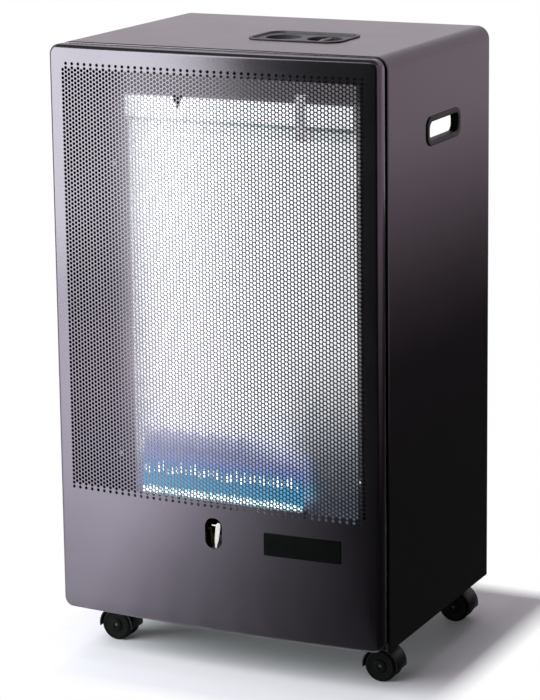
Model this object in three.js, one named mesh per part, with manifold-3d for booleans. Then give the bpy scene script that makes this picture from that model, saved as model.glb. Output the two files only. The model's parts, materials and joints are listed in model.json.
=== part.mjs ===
// Portable gas cabinet heater: a sheet-metal cabinet on four twin-wheel casters, with a
// bowed perforated front over a reflector and burner, controls let into the top, a grip
// cut-out in each side and a bulged rear cover that tips back from the bottle bay.
// Millimetres, +Z up, the front looks along -Y. The origin is on the floor, under the middle.

import * as THREE from 'three';
import { mergeGeometries, mergeVertices } from 'three/addons/utils/BufferGeometryUtils.js';
import Module from 'manifold-3d';

const wasm = await Module();
wasm.setup();

// ---------------------------------------------------------------- driving dimensions

const sheet = 1.2; // pressed steel of the cabinet
const liner = 1; // thinner steel of the firebox
const seatGap = 0.3; // clearance between pieces that sit on each other

const cabinetWidth = 426;
const bodyHeight = 700.5;
const floorClearance = 58.3; // floor to the body's lower edge
const shellDepth = 312.4;
const shellBend = 16; // outer radius where the sides turn into the top

const frontBow = 8.2; // how far the panel's middle stands ahead of its sides
const panelFlange = 16;
const panelEdgeRadius = 6;
const panelCornerRadius = 12;
const panelRise = 4.5; // panel's lower edge above the body's
const panelDrop = 0.8; // panel's upper edge below the body's
const shadowGap = 8.4; // dark joint between the panel and the body
const frameInset = 6; // how far the dark joint lies inside the cabinet's outline
const ringCornerRadius = 10;

const fieldSideMargin = 20.5; // from the panel's side to the outer hole centres
const fieldHeight = 517;
const fieldTopMargin = 22.5;
const holeColumns = 11;
const holeRows = 11;
const holeWidth = 25;

const slotWidth = 22.5; // sight hole in front of the pilot
const slotHeight = 38.5;
const slotCentreHeight = 185.3;

const badgeWidth = 97;
const badgeHeight = 27.3;
const badgeThickness = 1.2;
const badgeSideInset = 49.7; // badge's end inside the cabinet's side
const badgeCentreHeight = 181;

const fireboxSideInset = 63; // back of the firebox's wall inside the cabinet's side
const fireboxFlare = 23; // how much wider each wall stands at the firebox's mouth
const fireboxDepth = 38;
const fireboxBottom = 187.5;
const fireboxHeight = 536;
const fireboxRim = 8;
const ringFrontReach = 10; // chassis ring inside the panel
const ringBackReach = 14; // chassis ring inside the body
const reflectorTop = 662.5;
const reflectorThickness = 0.7;
const reflectorCapHeight = 29;
const reflectorCapReach = 7.5;
const clipInset = 72; // dark spring clip over the reflector's cap, from the firebox's wall
const clipWidth = 15;
const clipHeight = 16;
const clipRise = 3;
const braceInset = 67; // plain strap over the cap's other side, likewise
const braceWidth = 13;
const braceHeight = 54;
const braceRise = 11;

const burnerLeftInset = 19; // burner's ends inside the firebox's walls
const burnerRightInset = 61;
const burnerWidth = 20;
const burnerHeight = 17.5;
const burnerWall = 1.2;
const burnerPorts = 10;
const portWidth = 3;
const portLength = 12;
const burnerInletInset = 23; // inlet's axis inside the burner's right end
const burnerInletRadius = 6;
const burnerInletDrop = 14;
const burnerBracketFoot = 12;
const burnerBracketWidth = 10;
const burnerBracketRise = 14;

const pilotCentreX = -20;
const pilotShelfHeight = 157.5;
const pilotPitch = 11;
const pilotPlateWidth = 44;
const pilotPlateRise = 12; // plate above and below the pilot shelf
const pilotPlateDrop = 28;
const pilotStandOff = 16;
const pilotShelfReach = 7; // shelf ahead of the row of pilot pieces
const pilotFoot = 12; // each pilot piece's length below the shelf
const pilotCollarRim = 1.4;
const pilotCollarHeight = 3;
const pilotBurnerRadius = 3.6;
const pilotBurnerRise = 24;
const probeRadius = 2.4;
const probeRise = 29;
const ceramicRadius = 2.8;
const ceramicRise = 29;
const sparkWireRadius = 0.9;
const sparkWireRise = 33.5;
const sparkGap = 4; // from the wire's end to the pilot burner's axis
const feedHoleRadius = 4.8; // where the pilot's pipe and leads pass an upright plate
const feedHoleDrop = 38; // those holes, below the pilot shelf

const trayRim = 20;
const trayBackRim = 24;
const trayTongueWidth = 40;
const trayTongueX = 120;
const trayVentPitch = 90;
const trayVentLength = 56;
const trayVentWidth = 16;
const shieldFlange = 12;

const coverProud = 7.5; // rear cover's flat border behind the body
const coverBulge = 40; // room for the gas bottle
const coverTop = 554.5;
const coverSideInset = 2;
const coverEdgeRadius = 5;
const coverBorder = 34;
const coverSlope = 34;
const coverSlots = 5;
const coverSlotWidth = 120;
const coverSlotHeight = 6;
const coverSlotPitch = 18;
const coverSlotMargin = 18; // from the end of the bulge's slope to the first slot

const rearLip = 12;
const bottomLip = 15;
const railHeight = 20;
const railDepth = 14;
const railRise = 8; // rail's upper edge above the cover's
const catchWidth = 26;
const catchThickness = 0.84;
const catchDrop = 10;
const catchInset = 2;

const gripLength = 102; // outside of the trim round each side's grip hole
const gripHeight = 35;
const gripBorder = 8.5;
const gripFlangeBorder = 4.5;
const gripFlange = 1.5;
const gripNeckDepth = 9;
const gripCornerRadius = 12;
const gripFromCabinetFront = 163.6; // grip centre behind the body's front edge
const gripCentreHeight = 656.5;

const bezelLength = 122; // control insert in the top
const bezelWidth = 83;
const bezelCornerRadius = 20;
const bezelFlange = 1.2;
const bezelFlangeBorder = 4;
const bezelWall = 2;
const bezelRecess = 5;
const bezelDepth = 17;
const bezelCentreX = 48;
const bezelFromCabinetFront = 132; // insert centre behind the body's front edge
const wellSpacing = 54;
const wellRadius = 21.5;
const wellFloor = 1.6;

const knobRadius = 18.5;
const knobDiscHeight = 3.5;
const knobGripHeight = 6;
const knobGripWidth = 8;
const knobGripInset = 0.5; // its ends inside the knob's rim
const knobTravel = 4;
const knobBelowTop = 1.2;
const spindleRadius = 4;
const spindleClearance = 0.5;
const spindleInKnob = 2;
const collarRadius = 9;
const collarHeight = 3;
const collarMargin = 1; // left under the collar when the knob is pressed home

const buttonRadius = 9;
const buttonHeight = 6;
const buttonTravel = 5;
const buttonStemRadius = 5;
const buttonStemReach = 7; // stem inside the igniter
const buttonMargin = 0.8; // left under the button when it is pressed home
const igniterRadius = 10;
const igniterLength = 46;
const igniterBoreDepth = 14;

const valveBracketDrop = 44;
const valveBracketWidth = 30;
const valveBracketMargin = 6; // bracket past each side of the valve
const valveBracketEar = 12;
const valveWidth = 52;
const valveDepth = 34;
const valveHeight = 42;
const valveDomeRadius = 12;
const valveDomeHeight = 8;
const spindleReach = 8; // spindle inside the valve
const spindleBoreMargin = 2;
const inletBoreRadius = 3.5; // hose nozzle behind the valve
const inletNeckRadius = 4.5;
const inletRidgeRadius = 5.5;
const inletFlangeRadius = 8;
const inletFlangeLength = 6;
const inletRidges = 3;
const inletRidgePitch = 6;
const inletLength = 34;
const inletRise = 16; // nozzle's axis above the valve's underside

const mainPipeRadius = 4;
const mainPipeOutletX = 8; // pipe's start beside the valve's middle
const mainPipeOutletRise = 12; // and above the valve's underside
const mainPipeShift = 40; // height in which it crosses over to the burner inlet
const mainPipeDrop = 18; // its lowest run, below the burner's inlet
const crossingMargin = 6; // room round it where it passes the heat shield
const pilotPipeRadius = 2;
const leadRadius = 1.5;
const pilotLineDrop = 14; // thin lines, below what they leave
const pilotLineShift = 130; // height in which they cross to the pilot
const pilotPipeInset = 10; // thin pipe's start inside the valve's side
const pilotPipeOffset = -6; // and ahead of the valve's middle
const probeLeadInset = 3;
const probeLeadOffset = 4;
const leadBend = 4;

const wheelRadius = 20;
const wheelWidth = 11.5;
const wheelDish = 1.5;
const wheelInnerChamfer = 2;
const wheelShoulder = 3.5;
const wheelHubRadius = 6.5;
const wheelHubSlope = 4;
const axleRadius = 3;
const axleInset = 1; // axle's ends inside the wheels' outer faces
const axleBossRadius = 8;
const casterWeb = 5;
const casterSideGap = 0.8;
const hoodClearance = 1.5;
const hoodWall = 1.8;
const hoodSkirt = 3.5; // hood's lower edge below the axle
const casterTrail = 14;
const casterSideInset = 47; // swivel stem inside the body's side
const casterFrontInset = 59.6; // wheel centre behind the body's front edge
const casterRearInset = 20; // wheel centre ahead of the body's rear edge
const swivelBossRadius = 9;
const swivelBossRise = 6; // boss's lower end above the axle
const racewayRadius = 11;
const racewayHeight = 4.3;
const stemRadius = 4;
const stemClearance = 0.4;
const casterPlateSize = 40;
const casterPlateThickness = 2.5;
const casterPlateCornerRadius = 4;

// ---------------------------------------------------------------- derived positions

const halfWidth = cabinetWidth / 2;
const fieldWidth = cabinetWidth - 2 * fieldSideMargin;
const badgeCentreX = halfWidth - badgeSideInset - badgeWidth / 2;
const casterStemX = halfWidth - casterSideInset;
const overallDepth = frontBow + panelFlange + shadowGap + shellDepth + coverProud + coverBulge;
const crownY = -overallDepth / 2;
const panelCornerY = crownY + frontBow;
const panelBackY = panelCornerY + panelFlange;
const shellFrontY = panelBackY + shadowGap;
const shellBackY = shellFrontY + shellDepth;

const bodyBottom = floorClearance;
const bodyTop = bodyBottom + bodyHeight;
const panelBottom = bodyBottom + panelRise;
const panelTop = bodyTop - panelDrop;
const panelMiddle = (panelBottom + panelTop) / 2;
const panelHeight = panelTop - panelBottom;

const ringHalfWidth = halfWidth - frameInset;
const ringBottom = panelBottom + frameInset;
const ringTop = panelTop - frameInset;
const ringFrontY = panelBackY - ringFrontReach;
const ringBackY = shellFrontY + ringBackReach;
const lipWidth = frameInset - seatGap;

const trayUnderside = bodyBottom + sheet + seatGap;
const trayTop = trayUnderside + sheet;
const coverBottom = trayTop + seatGap;
const fireboxHalfWidth = halfWidth - fireboxSideInset;
const fireboxMouth = fireboxHalfWidth + fireboxFlare;
const fireboxFrontY = ringBackY + seatGap;
const fireboxBackY = fireboxFrontY + fireboxDepth + liner;
const fireboxTop = fireboxBottom + fireboxHeight;
const reflectorBackY = fireboxFrontY + fireboxDepth - seatGap;
const shieldY = fireboxBackY + seatGap;

const clipX = clipInset - fireboxHalfWidth;
const braceX = fireboxHalfWidth - braceInset;

const burnerLength = 2 * fireboxHalfWidth - burnerLeftInset - burnerRightInset;
const burnerCentreX = (burnerLeftInset - burnerRightInset) / 2;
const burnerInletX = burnerCentreX + burnerLength / 2 - burnerInletInset;
const burnerY = fireboxFrontY + fireboxDepth / 2;
const burnerBottom = fireboxBottom + seatGap;
const pilotPlateY = ringBackY - sheet - seatGap;
const pilotY = pilotPlateY - pilotStandOff;
const feedHeight = pilotShelfHeight - feedHoleDrop;
const burnerInletBottom = fireboxBottom - liner - burnerInletDrop;
const mainPipeLow = burnerInletBottom - mainPipeDrop;
const gripY = shellFrontY + gripFromCabinetFront;
const bezelY = shellFrontY + bezelFromCabinetFront;
const knobX = bezelCentreX + wellSpacing / 2;
const buttonX = bezelCentreX - wellSpacing / 2;
const bezelFloor = bodyTop - bezelDepth;
const valveBracketTop = bodyTop - sheet - seatGap;
const valveBracketFloor = valveBracketTop - valveBracketDrop;
const valveTop = valveBracketFloor - sheet - seatGap;
const valveBottom = valveTop - valveHeight;
const pipeRunY = shieldY + sheet + seatGap; // the pipes lie on the shield's rear face

// ---------------------------------------------------------------- materials

const finish = (color, roughness, metalness) =>
  new THREE.MeshStandardMaterial({ color, roughness, metalness });
const charcoalPaint = finish(0x4a454d, 0.45, 0.6);
const blackPaint = finish(0x0c0c0d, 0.6, 0.2);
const blackPlastic = finish(0x101012, 0.5, 0);
const glossBlack = finish(0x080808, 0.15, 0);
const brightSteel = finish(0xc9ccd2, 0.28, 1);
const galvanised = finish(0x9a9da2, 0.5, 0.9);
const brass = finish(0xb08d47, 0.35, 1);
const copper = finish(0xa65f3c, 0.35, 1);
const ceramic = finish(0xe8e4da, 0.5, 0);
const wheelRubber = finish(0x141416, 0.7, 0);

// ---------------------------------------------------------------- solids

function solidOf(geometry) {
  const bare = geometry.clone();
  bare.deleteAttribute('normal');
  bare.deleteAttribute('uv');
  const merged = mergeVertices(bare, 1e-4);
  const vertProperties = new Float32Array(merged.attributes.position.array);
  const triVerts = new Uint32Array(merged.index.array);
  return new wasm.Manifold(new wasm.Mesh({ numProp: 3, vertProperties, triVerts }));
}

function geometryOf(solid) {
  const mesh = solid.getMesh();
  const geometry = new THREE.BufferGeometry();
  geometry.setAttribute('position', new THREE.BufferAttribute(mesh.vertProperties, 3));
  geometry.setIndex(new THREE.BufferAttribute(mesh.triVerts, 1));
  return geometry;
}

// First geometry, with the added ones joined on and the cut ones taken away.
function carve(base, { add = [], cut = [] }) {
  let solid = solidOf(base);
  for (const piece of add) solid = solid.add(solidOf(piece));
  for (const piece of cut) solid = solid.subtract(solidOf(piece));
  return geometryOf(solid);
}

function sub(name, geometry, material, position = [0, 0, 0]) {
  const mesh = new THREE.Mesh(geometry, material);
  mesh.name = name;
  mesh.position.set(...position);
  return mesh;
}

// ---------------------------------------------------------------- shapes

function box(x0, x1, y0, y1, z0, z1) {
  const geometry = new THREE.BoxGeometry(x1 - x0, y1 - y0, z1 - z0);
  return geometry.translate((x0 + x1) / 2, (y0 + y1) / 2, (z0 + z1) / 2);
}

function roundedRectangle(x0, x1, y0, y1, radius) {
  const r = Math.min(radius, (x1 - x0) / 2 - 0.01, (y1 - y0) / 2 - 0.01);
  const shape = new THREE.Shape();
  shape.moveTo(x0 + r, y0);
  shape.lineTo(x1 - r, y0);
  shape.absarc(x1 - r, y0 + r, r, -Math.PI / 2, 0, false);
  shape.lineTo(x1, y1 - r);
  shape.absarc(x1 - r, y1 - r, r, 0, Math.PI / 2, false);
  shape.lineTo(x0 + r, y1);
  shape.absarc(x0 + r, y1 - r, r, Math.PI / 2, Math.PI, false);
  shape.lineTo(x0, y0 + r);
  shape.absarc(x0 + r, y0 + r, r, Math.PI, 1.5 * Math.PI, false);
  return shape;
}

function polygon(points) {
  const shape = new THREE.Shape();
  shape.moveTo(...points[0]);
  for (const point of points.slice(1)) shape.lineTo(...point);
  shape.closePath();
  return shape;
}

const arcSteps = 3;

function extrude(shape, length) {
  return new THREE.ExtrudeGeometry(shape, {
    depth: length, bevelEnabled: false, curveSegments: arcSteps,
  });
}

// Shape in X and Z, running from y0 back to y1.
function alongY(shape, y0, y1) {
  return extrude(shape, y1 - y0).rotateX(Math.PI / 2).translate(0, y1, 0);
}

// Shape in X and Y, running from z0 up to z1.
function alongZ(shape, z0, z1) {
  return extrude(shape, z1 - z0).translate(0, 0, z0);
}

// Shape in Y and Z, running from x0 to x1.
function alongX(shape, x0, x1) {
  const turn = new THREE.Matrix4().makeBasis(
    new THREE.Vector3(0, 1, 0), new THREE.Vector3(0, 0, 1), new THREE.Vector3(1, 0, 0));
  return extrude(shape, x1 - x0).applyMatrix4(turn).translate(x0, 0, 0);
}

function uprightCylinder(x, y, z0, z1, radius, sides = 20) {
  const geometry = new THREE.CylinderGeometry(radius, radius, z1 - z0, sides);
  return geometry.rotateX(Math.PI / 2).translate(x, y, (z0 + z1) / 2);
}

// Route that steps straight from one stop to the next.
class PipeRoute extends THREE.Curve {
  constructor(stops) {
    super();
    this.stops = stops;
  }

  getPoint(share, target = new THREE.Vector3()) {
    const place = share * (this.stops.length - 1);
    const i = Math.min(Math.floor(place), this.stops.length - 2);
    return target.lerpVectors(this.stops[i], this.stops[i + 1], place - i);
  }

  getPointAt(share, target) {
    return this.getPoint(share, target);
  }

  getTangentAt(share, target = new THREE.Vector3()) {
    const last = this.stops.length - 1;
    const i = Math.round(share * last);
    const before = this.stops[Math.max(i - 1, 0)];
    const after = this.stops[Math.min(i + 1, last)];
    return target.subVectors(after, before).normalize();
  }
}

// Pipe of straight runs between corners, bent round each corner.
function bentPipe(corners, radius, bend, sides) {
  const points = corners.map((corner) => new THREE.Vector3(...corner));
  const stops = [points[0]];
  for (let i = 1; i < points.length - 1; i++) {
    const into = points[i].clone().sub(points[i - 1]);
    const out = points[i + 1].clone().sub(points[i]);
    const trim = Math.min(bend, into.length() * 0.49, out.length() * 0.49);
    const arc = new THREE.QuadraticBezierCurve3(
      points[i].clone().addScaledVector(into.normalize(), -trim), points[i],
      points[i].clone().addScaledVector(out.normalize(), trim));
    stops.push(...arc.getPoints(3));
  }
  stops.push(points[points.length - 1]);
  const section = new THREE.Shape();
  section.absarc(0, 0, radius, 0, 2 * Math.PI, false);
  return new THREE.ExtrudeGeometry(section, {
    extrudePath: new PipeRoute(stops), steps: stops.length - 1,
    curveSegments: sides / 2, bevelEnabled: false,
  });
}

// A mound on a flat base: height over the grid of u and v, standing on the level "base".
function mound(us, vs, heightAt, base) {
  const positions = [];
  const index = [];
  const columns = us.length;
  const rows = vs.length;
  for (const level of [true, false]) {
    for (const v of vs) {
      for (const u of us) positions.push(u, v, level ? heightAt(u, v) : base);
    }
  }
  const at = (i, j, upper) => (upper ? 0 : columns * rows) + j * columns + i;
  const quad = (a, b, c, d) => index.push(a, b, c, a, c, d);
  for (let j = 0; j < rows - 1; j++) {
    for (let i = 0; i < columns - 1; i++) {
      quad(at(i, j, true), at(i + 1, j, true), at(i + 1, j + 1, true), at(i, j + 1, true));
      quad(at(i, j, false), at(i, j + 1, false), at(i + 1, j + 1, false), at(i + 1, j, false));
    }
  }
  const wall = (i0, j0, i1, j1) =>
    quad(at(i0, j0, false), at(i1, j1, false), at(i1, j1, true), at(i0, j0, true));
  for (let i = 0; i < columns - 1; i++) {
    wall(i, 0, i + 1, 0);
    wall(i + 1, rows - 1, i, rows - 1);
  }
  for (let j = 0; j < rows - 1; j++) {
    wall(columns - 1, j, columns - 1, j + 1);
    wall(0, j + 1, 0, j);
  }
  const geometry = new THREE.BufferGeometry();
  geometry.setAttribute('position', new THREE.Float32BufferAttribute(positions, 3));
  geometry.setIndex(index);
  return geometry;
}

// Lines across a mound: round edges at both ends, and the given lines between them.
function gridLines(from, to, radius, inner) {
  const turns = [0, 1, 2].map((step) => radius * (1 - Math.cos((step * Math.PI) / 4)));
  const kept = inner.filter((line) => line > from + radius + 0.5 && line < to - radius - 0.5);
  return [...turns.map((t) => from + t), ...kept, ...turns.map((t) => to - t).reverse()];
}

function edgeDrop(distance, radius) {
  if (distance >= radius) return 0;
  const inside = radius - Math.max(distance, 0);
  return radius - Math.sqrt(Math.max(radius * radius - inside * inside, 0));
}

function steps(from, to, count) {
  return Array.from({ length: count + 1 }, (_, i) => from + ((to - from) * i) / count);
}

// ---------------------------------------------------------------- cabinet

// Outline of the body seen from the front, inset from the outside by "inset".
function bodyArch(inset) {
  const r = Math.max(shellBend - inset, 0.1);
  const x = halfWidth - inset;
  const z = bodyTop - inset;
  const shape = new THREE.Shape();
  shape.moveTo(x, bodyBottom);
  shape.lineTo(x, z - r);
  shape.absarc(x - r, z - r, r, 0, Math.PI / 2, false);
  shape.lineTo(-x + r, z);
  shape.absarc(-x + r, z - r, r, Math.PI / 2, Math.PI, false);
  shape.lineTo(-x, bodyBottom);
  return shape;
}

function gripRectangle(border) {
  return roundedRectangle(
    gripY - gripLength / 2 + border, gripY + gripLength / 2 - border,
    gripCentreHeight - gripHeight / 2 + border, gripCentreHeight + gripHeight / 2 - border,
    gripCornerRadius - border / 2);
}

function bezelRectangle(border) {
  return roundedRectangle(
    bezelCentreX - bezelLength / 2 + border, bezelCentreX + bezelLength / 2 - border,
    bezelY - bezelWidth / 2 + border, bezelY + bezelWidth / 2 - border,
    bezelCornerRadius - border);
}

function archFrame(y0, y1, sideLip, topLip) {
  const hole = box(
    -halfWidth + sideLip, halfWidth - sideLip, y0 - 1, y1 + 1, bodyBottom - 1, bodyTop - topLip);
  return carve(alongY(bodyArch(0), y0, y1), { cut: [hole] });
}

function cabinetShell() {
  const frontTopLip = bodyTop - ringTop - seatGap;
  const wrap = carve(alongY(bodyArch(0), shellFrontY, shellBackY), {
    cut: [
      carve(alongY(bodyArch(sheet), shellFrontY - 1, shellBackY + 1), {
        add: [box(-halfWidth + sheet, halfWidth - sheet, shellFrontY - 1, shellBackY + 1,
          bodyBottom - 1, bodyBottom + 1)],
      }),
    ],
  });
  const feet = [-1, 1].map((side) => {
    const outer = side * halfWidth;
    const inner = side * (halfWidth - bottomLip);
    return box(Math.min(outer, inner), Math.max(outer, inner), shellFrontY, shellBackY,
      bodyBottom, bodyBottom + sheet);
  });
  return carve(wrap, {
    add: [
      archFrame(shellFrontY, shellFrontY + sheet, lipWidth, frontTopLip),
      archFrame(shellBackY - sheet, shellBackY, rearLip, rearLip),
      ...feet,
    ],
    cut: [
      alongX(gripRectangle(gripFlangeBorder), -halfWidth - 1, halfWidth + 1),
      alongZ(bezelRectangle(bezelFlangeBorder), bodyTop - sheet - 1, bodyTop + 1),
    ],
  });
}

function frontFrame() {
  const ring = (inset, y0, y1) => alongY(
    roundedRectangle(-ringHalfWidth + inset, ringHalfWidth - inset, ringBottom + inset,
      ringTop - inset, ringCornerRadius - inset), y0, y1);
  const bulkheadY = ringBackY - sheet;
  const window = box(-fireboxMouth, fireboxMouth, bulkheadY - 1, ringBackY + 1,
    fireboxBottom, fireboxTop);
  return carve(ring(0, ringFrontY, ringBackY), {
    cut: [
      ring(sheet, ringFrontY - 1, bulkheadY),
      window,
      ...pilotFeedHoles(bulkheadY - 1, ringBackY + 1),
    ],
  });
}

// Holes for the pilot's pipe and leads in an upright plate.
function pilotFeedHoles(y0, y1) {
  return [-1, 0, 1].map((slot) => {
    const hole = new THREE.CylinderGeometry(feedHoleRadius, feedHoleRadius, y1 - y0, 10);
    return hole.translate(pilotCentreX + slot * pilotPitch, (y0 + y1) / 2, feedHeight);
  });
}

// ---------------------------------------------------------------- front panel

// Radius of the bow, from its rise over the cabinet's width.
const bowRadius = (halfWidth * halfWidth + frontBow * frontBow) / (2 * frontBow);
const bowHeight = (x) => Math.sqrt(bowRadius * bowRadius - x * x) - bowRadius + frontBow;

const columnPitch = fieldWidth / (holeColumns - 1);
const rowPitch = fieldHeight / (holeRows - 0.5);
const fieldTop = panelTop - fieldTopMargin;
const columnEdges = steps(
  -fieldWidth / 2 - columnPitch / 2, fieldWidth / 2 + columnPitch / 2, holeColumns);

// The bow as flat strips, one to a column of holes.
function facetedBow(x) {
  const knots = [-halfWidth, ...columnEdges.filter((e) => Math.abs(e) < halfWidth), halfWidth];
  const right = knots.findIndex((knot) => knot >= Math.min(x, halfWidth));
  const b = Math.max(right, 1);
  const share = (x - knots[b - 1]) / (knots[b] - knots[b - 1]);
  return bowHeight(knots[b - 1]) * (1 - share) + bowHeight(knots[b]) * share;
}

function panelMound(inset, base) {
  const x = halfWidth - inset;
  const z = panelHeight / 2 - inset;
  const radius = panelEdgeRadius - inset;
  const heightAt = (u, v) => {
    const distance = Math.min(x - Math.abs(u), z - Math.abs(v));
    return panelFlange + facetedBow(u) - inset - edgeDrop(distance, radius);
  };
  return mound(gridLines(-x, x, radius, columnEdges), gridLines(-z, z, radius, []), heightAt, base);
}

function fieldHoles(reach) {
  const holes = [];
  const corner = holeWidth / Math.sqrt(3);
  for (let column = 0; column < holeColumns; column++) {
    const x = -fieldWidth / 2 + column * columnPitch;
    const stagger = (column % 2) * 0.5;
    for (let row = 0; row < holeRows; row++) {
      const z = fieldTop - (row + stagger) * rowPitch - panelMiddle;
      const hole = new THREE.CylinderGeometry(corner, corner, reach, 6, 1, false, Math.PI / 2);
      holes.push(hole.rotateX(Math.PI / 2).translate(x, z, reach / 2 + 1));
    }
  }
  return mergeGeometries(holes);
}

// Built lying flat, face up, and stood up when it is placed.
function frontPanel() {
  const outline = (inset) => roundedRectangle(
    -halfWidth + inset, halfWidth - inset, -panelHeight / 2 + inset, panelHeight / 2 - inset,
    panelCornerRadius - inset);
  const reach = panelFlange + frontBow + 2;
  const slotRise = slotCentreHeight - panelMiddle;
  const slot = alongZ(roundedRectangle(-slotWidth / 2, slotWidth / 2, slotRise - slotHeight / 2,
    slotRise + slotHeight / 2, slotWidth / 2), 1, reach);
  const outer = solidOf(panelMound(0, 0)).intersect(solidOf(alongZ(outline(0), -1, reach)));
  const inner = solidOf(panelMound(sheet, -1))
    .intersect(solidOf(alongZ(outline(sheet), -2, reach)));
  const lip = solidOf(alongZ(outline(0), 0, sheet))
    .subtract(solidOf(alongZ(outline(lipWidth), -1, sheet + 1)));
  const pan = outer.subtract(inner).add(lip)
    .subtract(solidOf(fieldHoles(reach)))
    .subtract(solidOf(slot));
  return geometryOf(pan);
}

function badgePlate() {
  const xs = steps(badgeCentreX - badgeWidth / 2, badgeCentreX + badgeWidth / 2, 4);
  const front = (x) => panelBackY - panelFlange - bowHeight(x);
  const near = xs.map((x) => [x, front(x) - seatGap]);
  const far = xs.map((x) => [x, front(x) - seatGap - badgeThickness]).reverse();
  return alongZ(polygon([...near, ...far]),
    badgeCentreHeight - badgeHeight / 2, badgeCentreHeight + badgeHeight / 2);
}

// ---------------------------------------------------------------- base, rear

function baseTray() {
  const x = halfWidth - sheet - seatGap;
  const y0 = shellFrontY + sheet + seatGap;
  const y1 = shellBackY - sheet - seatGap;
  const frontRimTop = ringBottom - seatGap;
  const tongues = [-1, 1].map((side) => box(
    side * trayTongueX - trayTongueWidth / 2, side * trayTongueX + trayTongueWidth / 2,
    y1 - 1, shellBackY + coverProud, trayUnderside, trayTop));
  const vents = [-1, 0, 1].map((column) => alongZ(
    roundedRectangle(column * trayVentPitch - trayVentLength / 2,
      column * trayVentPitch + trayVentLength / 2, -trayVentWidth / 2, trayVentWidth / 2,
      trayVentWidth / 2), trayUnderside - 1, trayTop + 1));
  return carve(box(-x, x, y0, y1, trayUnderside, trayTop), {
    add: [
      box(-x, x, y0, y0 + sheet, trayUnderside, frontRimTop),
      box(-x, x, y1 - sheet, y1, trayUnderside, trayUnderside + trayBackRim),
      box(-x, -x + sheet, y0, y1, trayUnderside, trayUnderside + trayRim),
      box(x - sheet, x, y0, y1, trayUnderside, trayUnderside + trayRim),
      ...tongues,
    ],
    cut: vents,
  });
}

function heatShield() {
  const x = halfWidth - sheet - seatGap;
  const y1 = shieldY + sheet;
  const z0 = trayTop + seatGap;
  const z1 = bodyTop - sheet - seatGap;
  const r = shellBend - sheet;
  const plate = roundedRectangle(-x, x, z0 - 2 * r, z1, r);
  return carve(alongY(plate, shieldY, y1), {
    add: [-1, 1].map((side) => box(Math.min(side * x, side * (x - sheet)),
      Math.max(side * x, side * (x - sheet)), shieldY, y1 + shieldFlange,
      z0 + trayRim, z1 - r - seatGap)),
    cut: [
      box(-x - 1, x + 1, shieldY - 1, y1 + 1, z0 - 2 * r - 1, z0),
      box(-x - 1, -x + sheet + seatGap, shieldY - 1, y1 + 1, z0 - 1, z0 + trayRim),
      box(x - sheet - seatGap, x + 1, shieldY - 1, y1 + 1, z0 - 1, z0 + trayRim),
      ...pilotFeedHoles(shieldY - 1, y1 + 1),
      crossingHole(shieldY - 1, y1 + 1),
    ],
  });
}

function crossingHole(y0, y1) {
  const radius = mainPipeRadius + crossingMargin;
  const hole = new THREE.CylinderGeometry(radius, radius, y1 - y0, 12);
  return hole.translate(burnerInletX, (y0 + y1) / 2, mainPipeLow);
}

function rearRail() {
  const x = halfWidth - sheet - seatGap;
  const y1 = shellBackY - sheet - seatGap;
  const z1 = coverTop + railRise;
  return carve(box(-x, x, y1 - sheet, y1, z1 - railHeight, z1), {
    add: [
      box(-x, x, y1 - railDepth, y1, z1 - railHeight, z1 - railHeight + sheet),
      box(-x, -x + sheet, y1 - railDepth, y1, z1 - railHeight, z1),
      box(x - sheet, x, y1 - railDepth, y1, z1 - railHeight, z1),
    ],
  });
}

// Leaf clip over the cover's upper edge.
function coverCatch() {
  const y0 = shellBackY - sheet;
  const z0 = coverTop + seatGap;
  const y1 = shellBackY + coverProud - catchInset;
  const profile = polygon([
    [y0, z0 - catchDrop], [y0 + catchThickness, z0 - catchDrop], [y0 + catchThickness, z0],
    [y1, z0], [y1, z0 + sheet], [y0, z0 + sheet],
  ]);
  return alongX(profile, -catchWidth / 2, catchWidth / 2);
}

const coverHalfWidth = halfWidth - coverSideInset;
const coverHeight = coverTop - coverBottom;

function smooth(share) {
  const t = Math.min(Math.max(share, 0), 1);
  return t * t * (3 - 2 * t);
}

function coverMound(inset, base) {
  const x = coverHalfWidth - inset;
  const z = coverHeight / 2 - inset;
  const radius = coverEdgeRadius - inset;
  const rim = coverProud - seatGap;
  const ramp = (distance) => smooth((distance - coverBorder + inset) / coverSlope);
  const heightAt = (u, v) => {
    const dx = x - Math.abs(u);
    const dz = z - Math.abs(v);
    return rim - inset + coverBulge * ramp(dx) * ramp(dz) - edgeDrop(Math.min(dx, dz), radius);
  };
  const rampLines = (reach) => [0, 0.33, 0.67, 1].flatMap((share) => {
    const line = reach - coverBorder - share * coverSlope;
    return [-line, line];
  }).sort((a, b) => a - b);
  const us = gridLines(-x, x, radius, rampLines(coverHalfWidth));
  const vs = gridLines(-z, z, radius, rampLines(coverHeight / 2));
  return mound(us, vs, heightAt, base);
}

// Built lying flat, face up, and stood up with its face to the rear when it is placed.
function rearCover() {
  const reach = coverProud + coverBulge + 2;
  const first = coverHeight / 2 - coverBorder - coverSlope - coverSlotMargin;
  const slots = [];
  for (const side of [-1, 1]) {
    for (let i = 0; i < coverSlots; i++) {
      const v = side * (first - i * coverSlotPitch);
      slots.push(alongZ(roundedRectangle(-coverSlotWidth / 2, coverSlotWidth / 2,
        v - coverSlotHeight / 2, v + coverSlotHeight / 2, coverSlotHeight / 2), -2, reach));
    }
  }
  return carve(coverMound(0, 0), { cut: [coverMound(sheet, -1), ...slots] });
}

// ---------------------------------------------------------------- firebox

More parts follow.
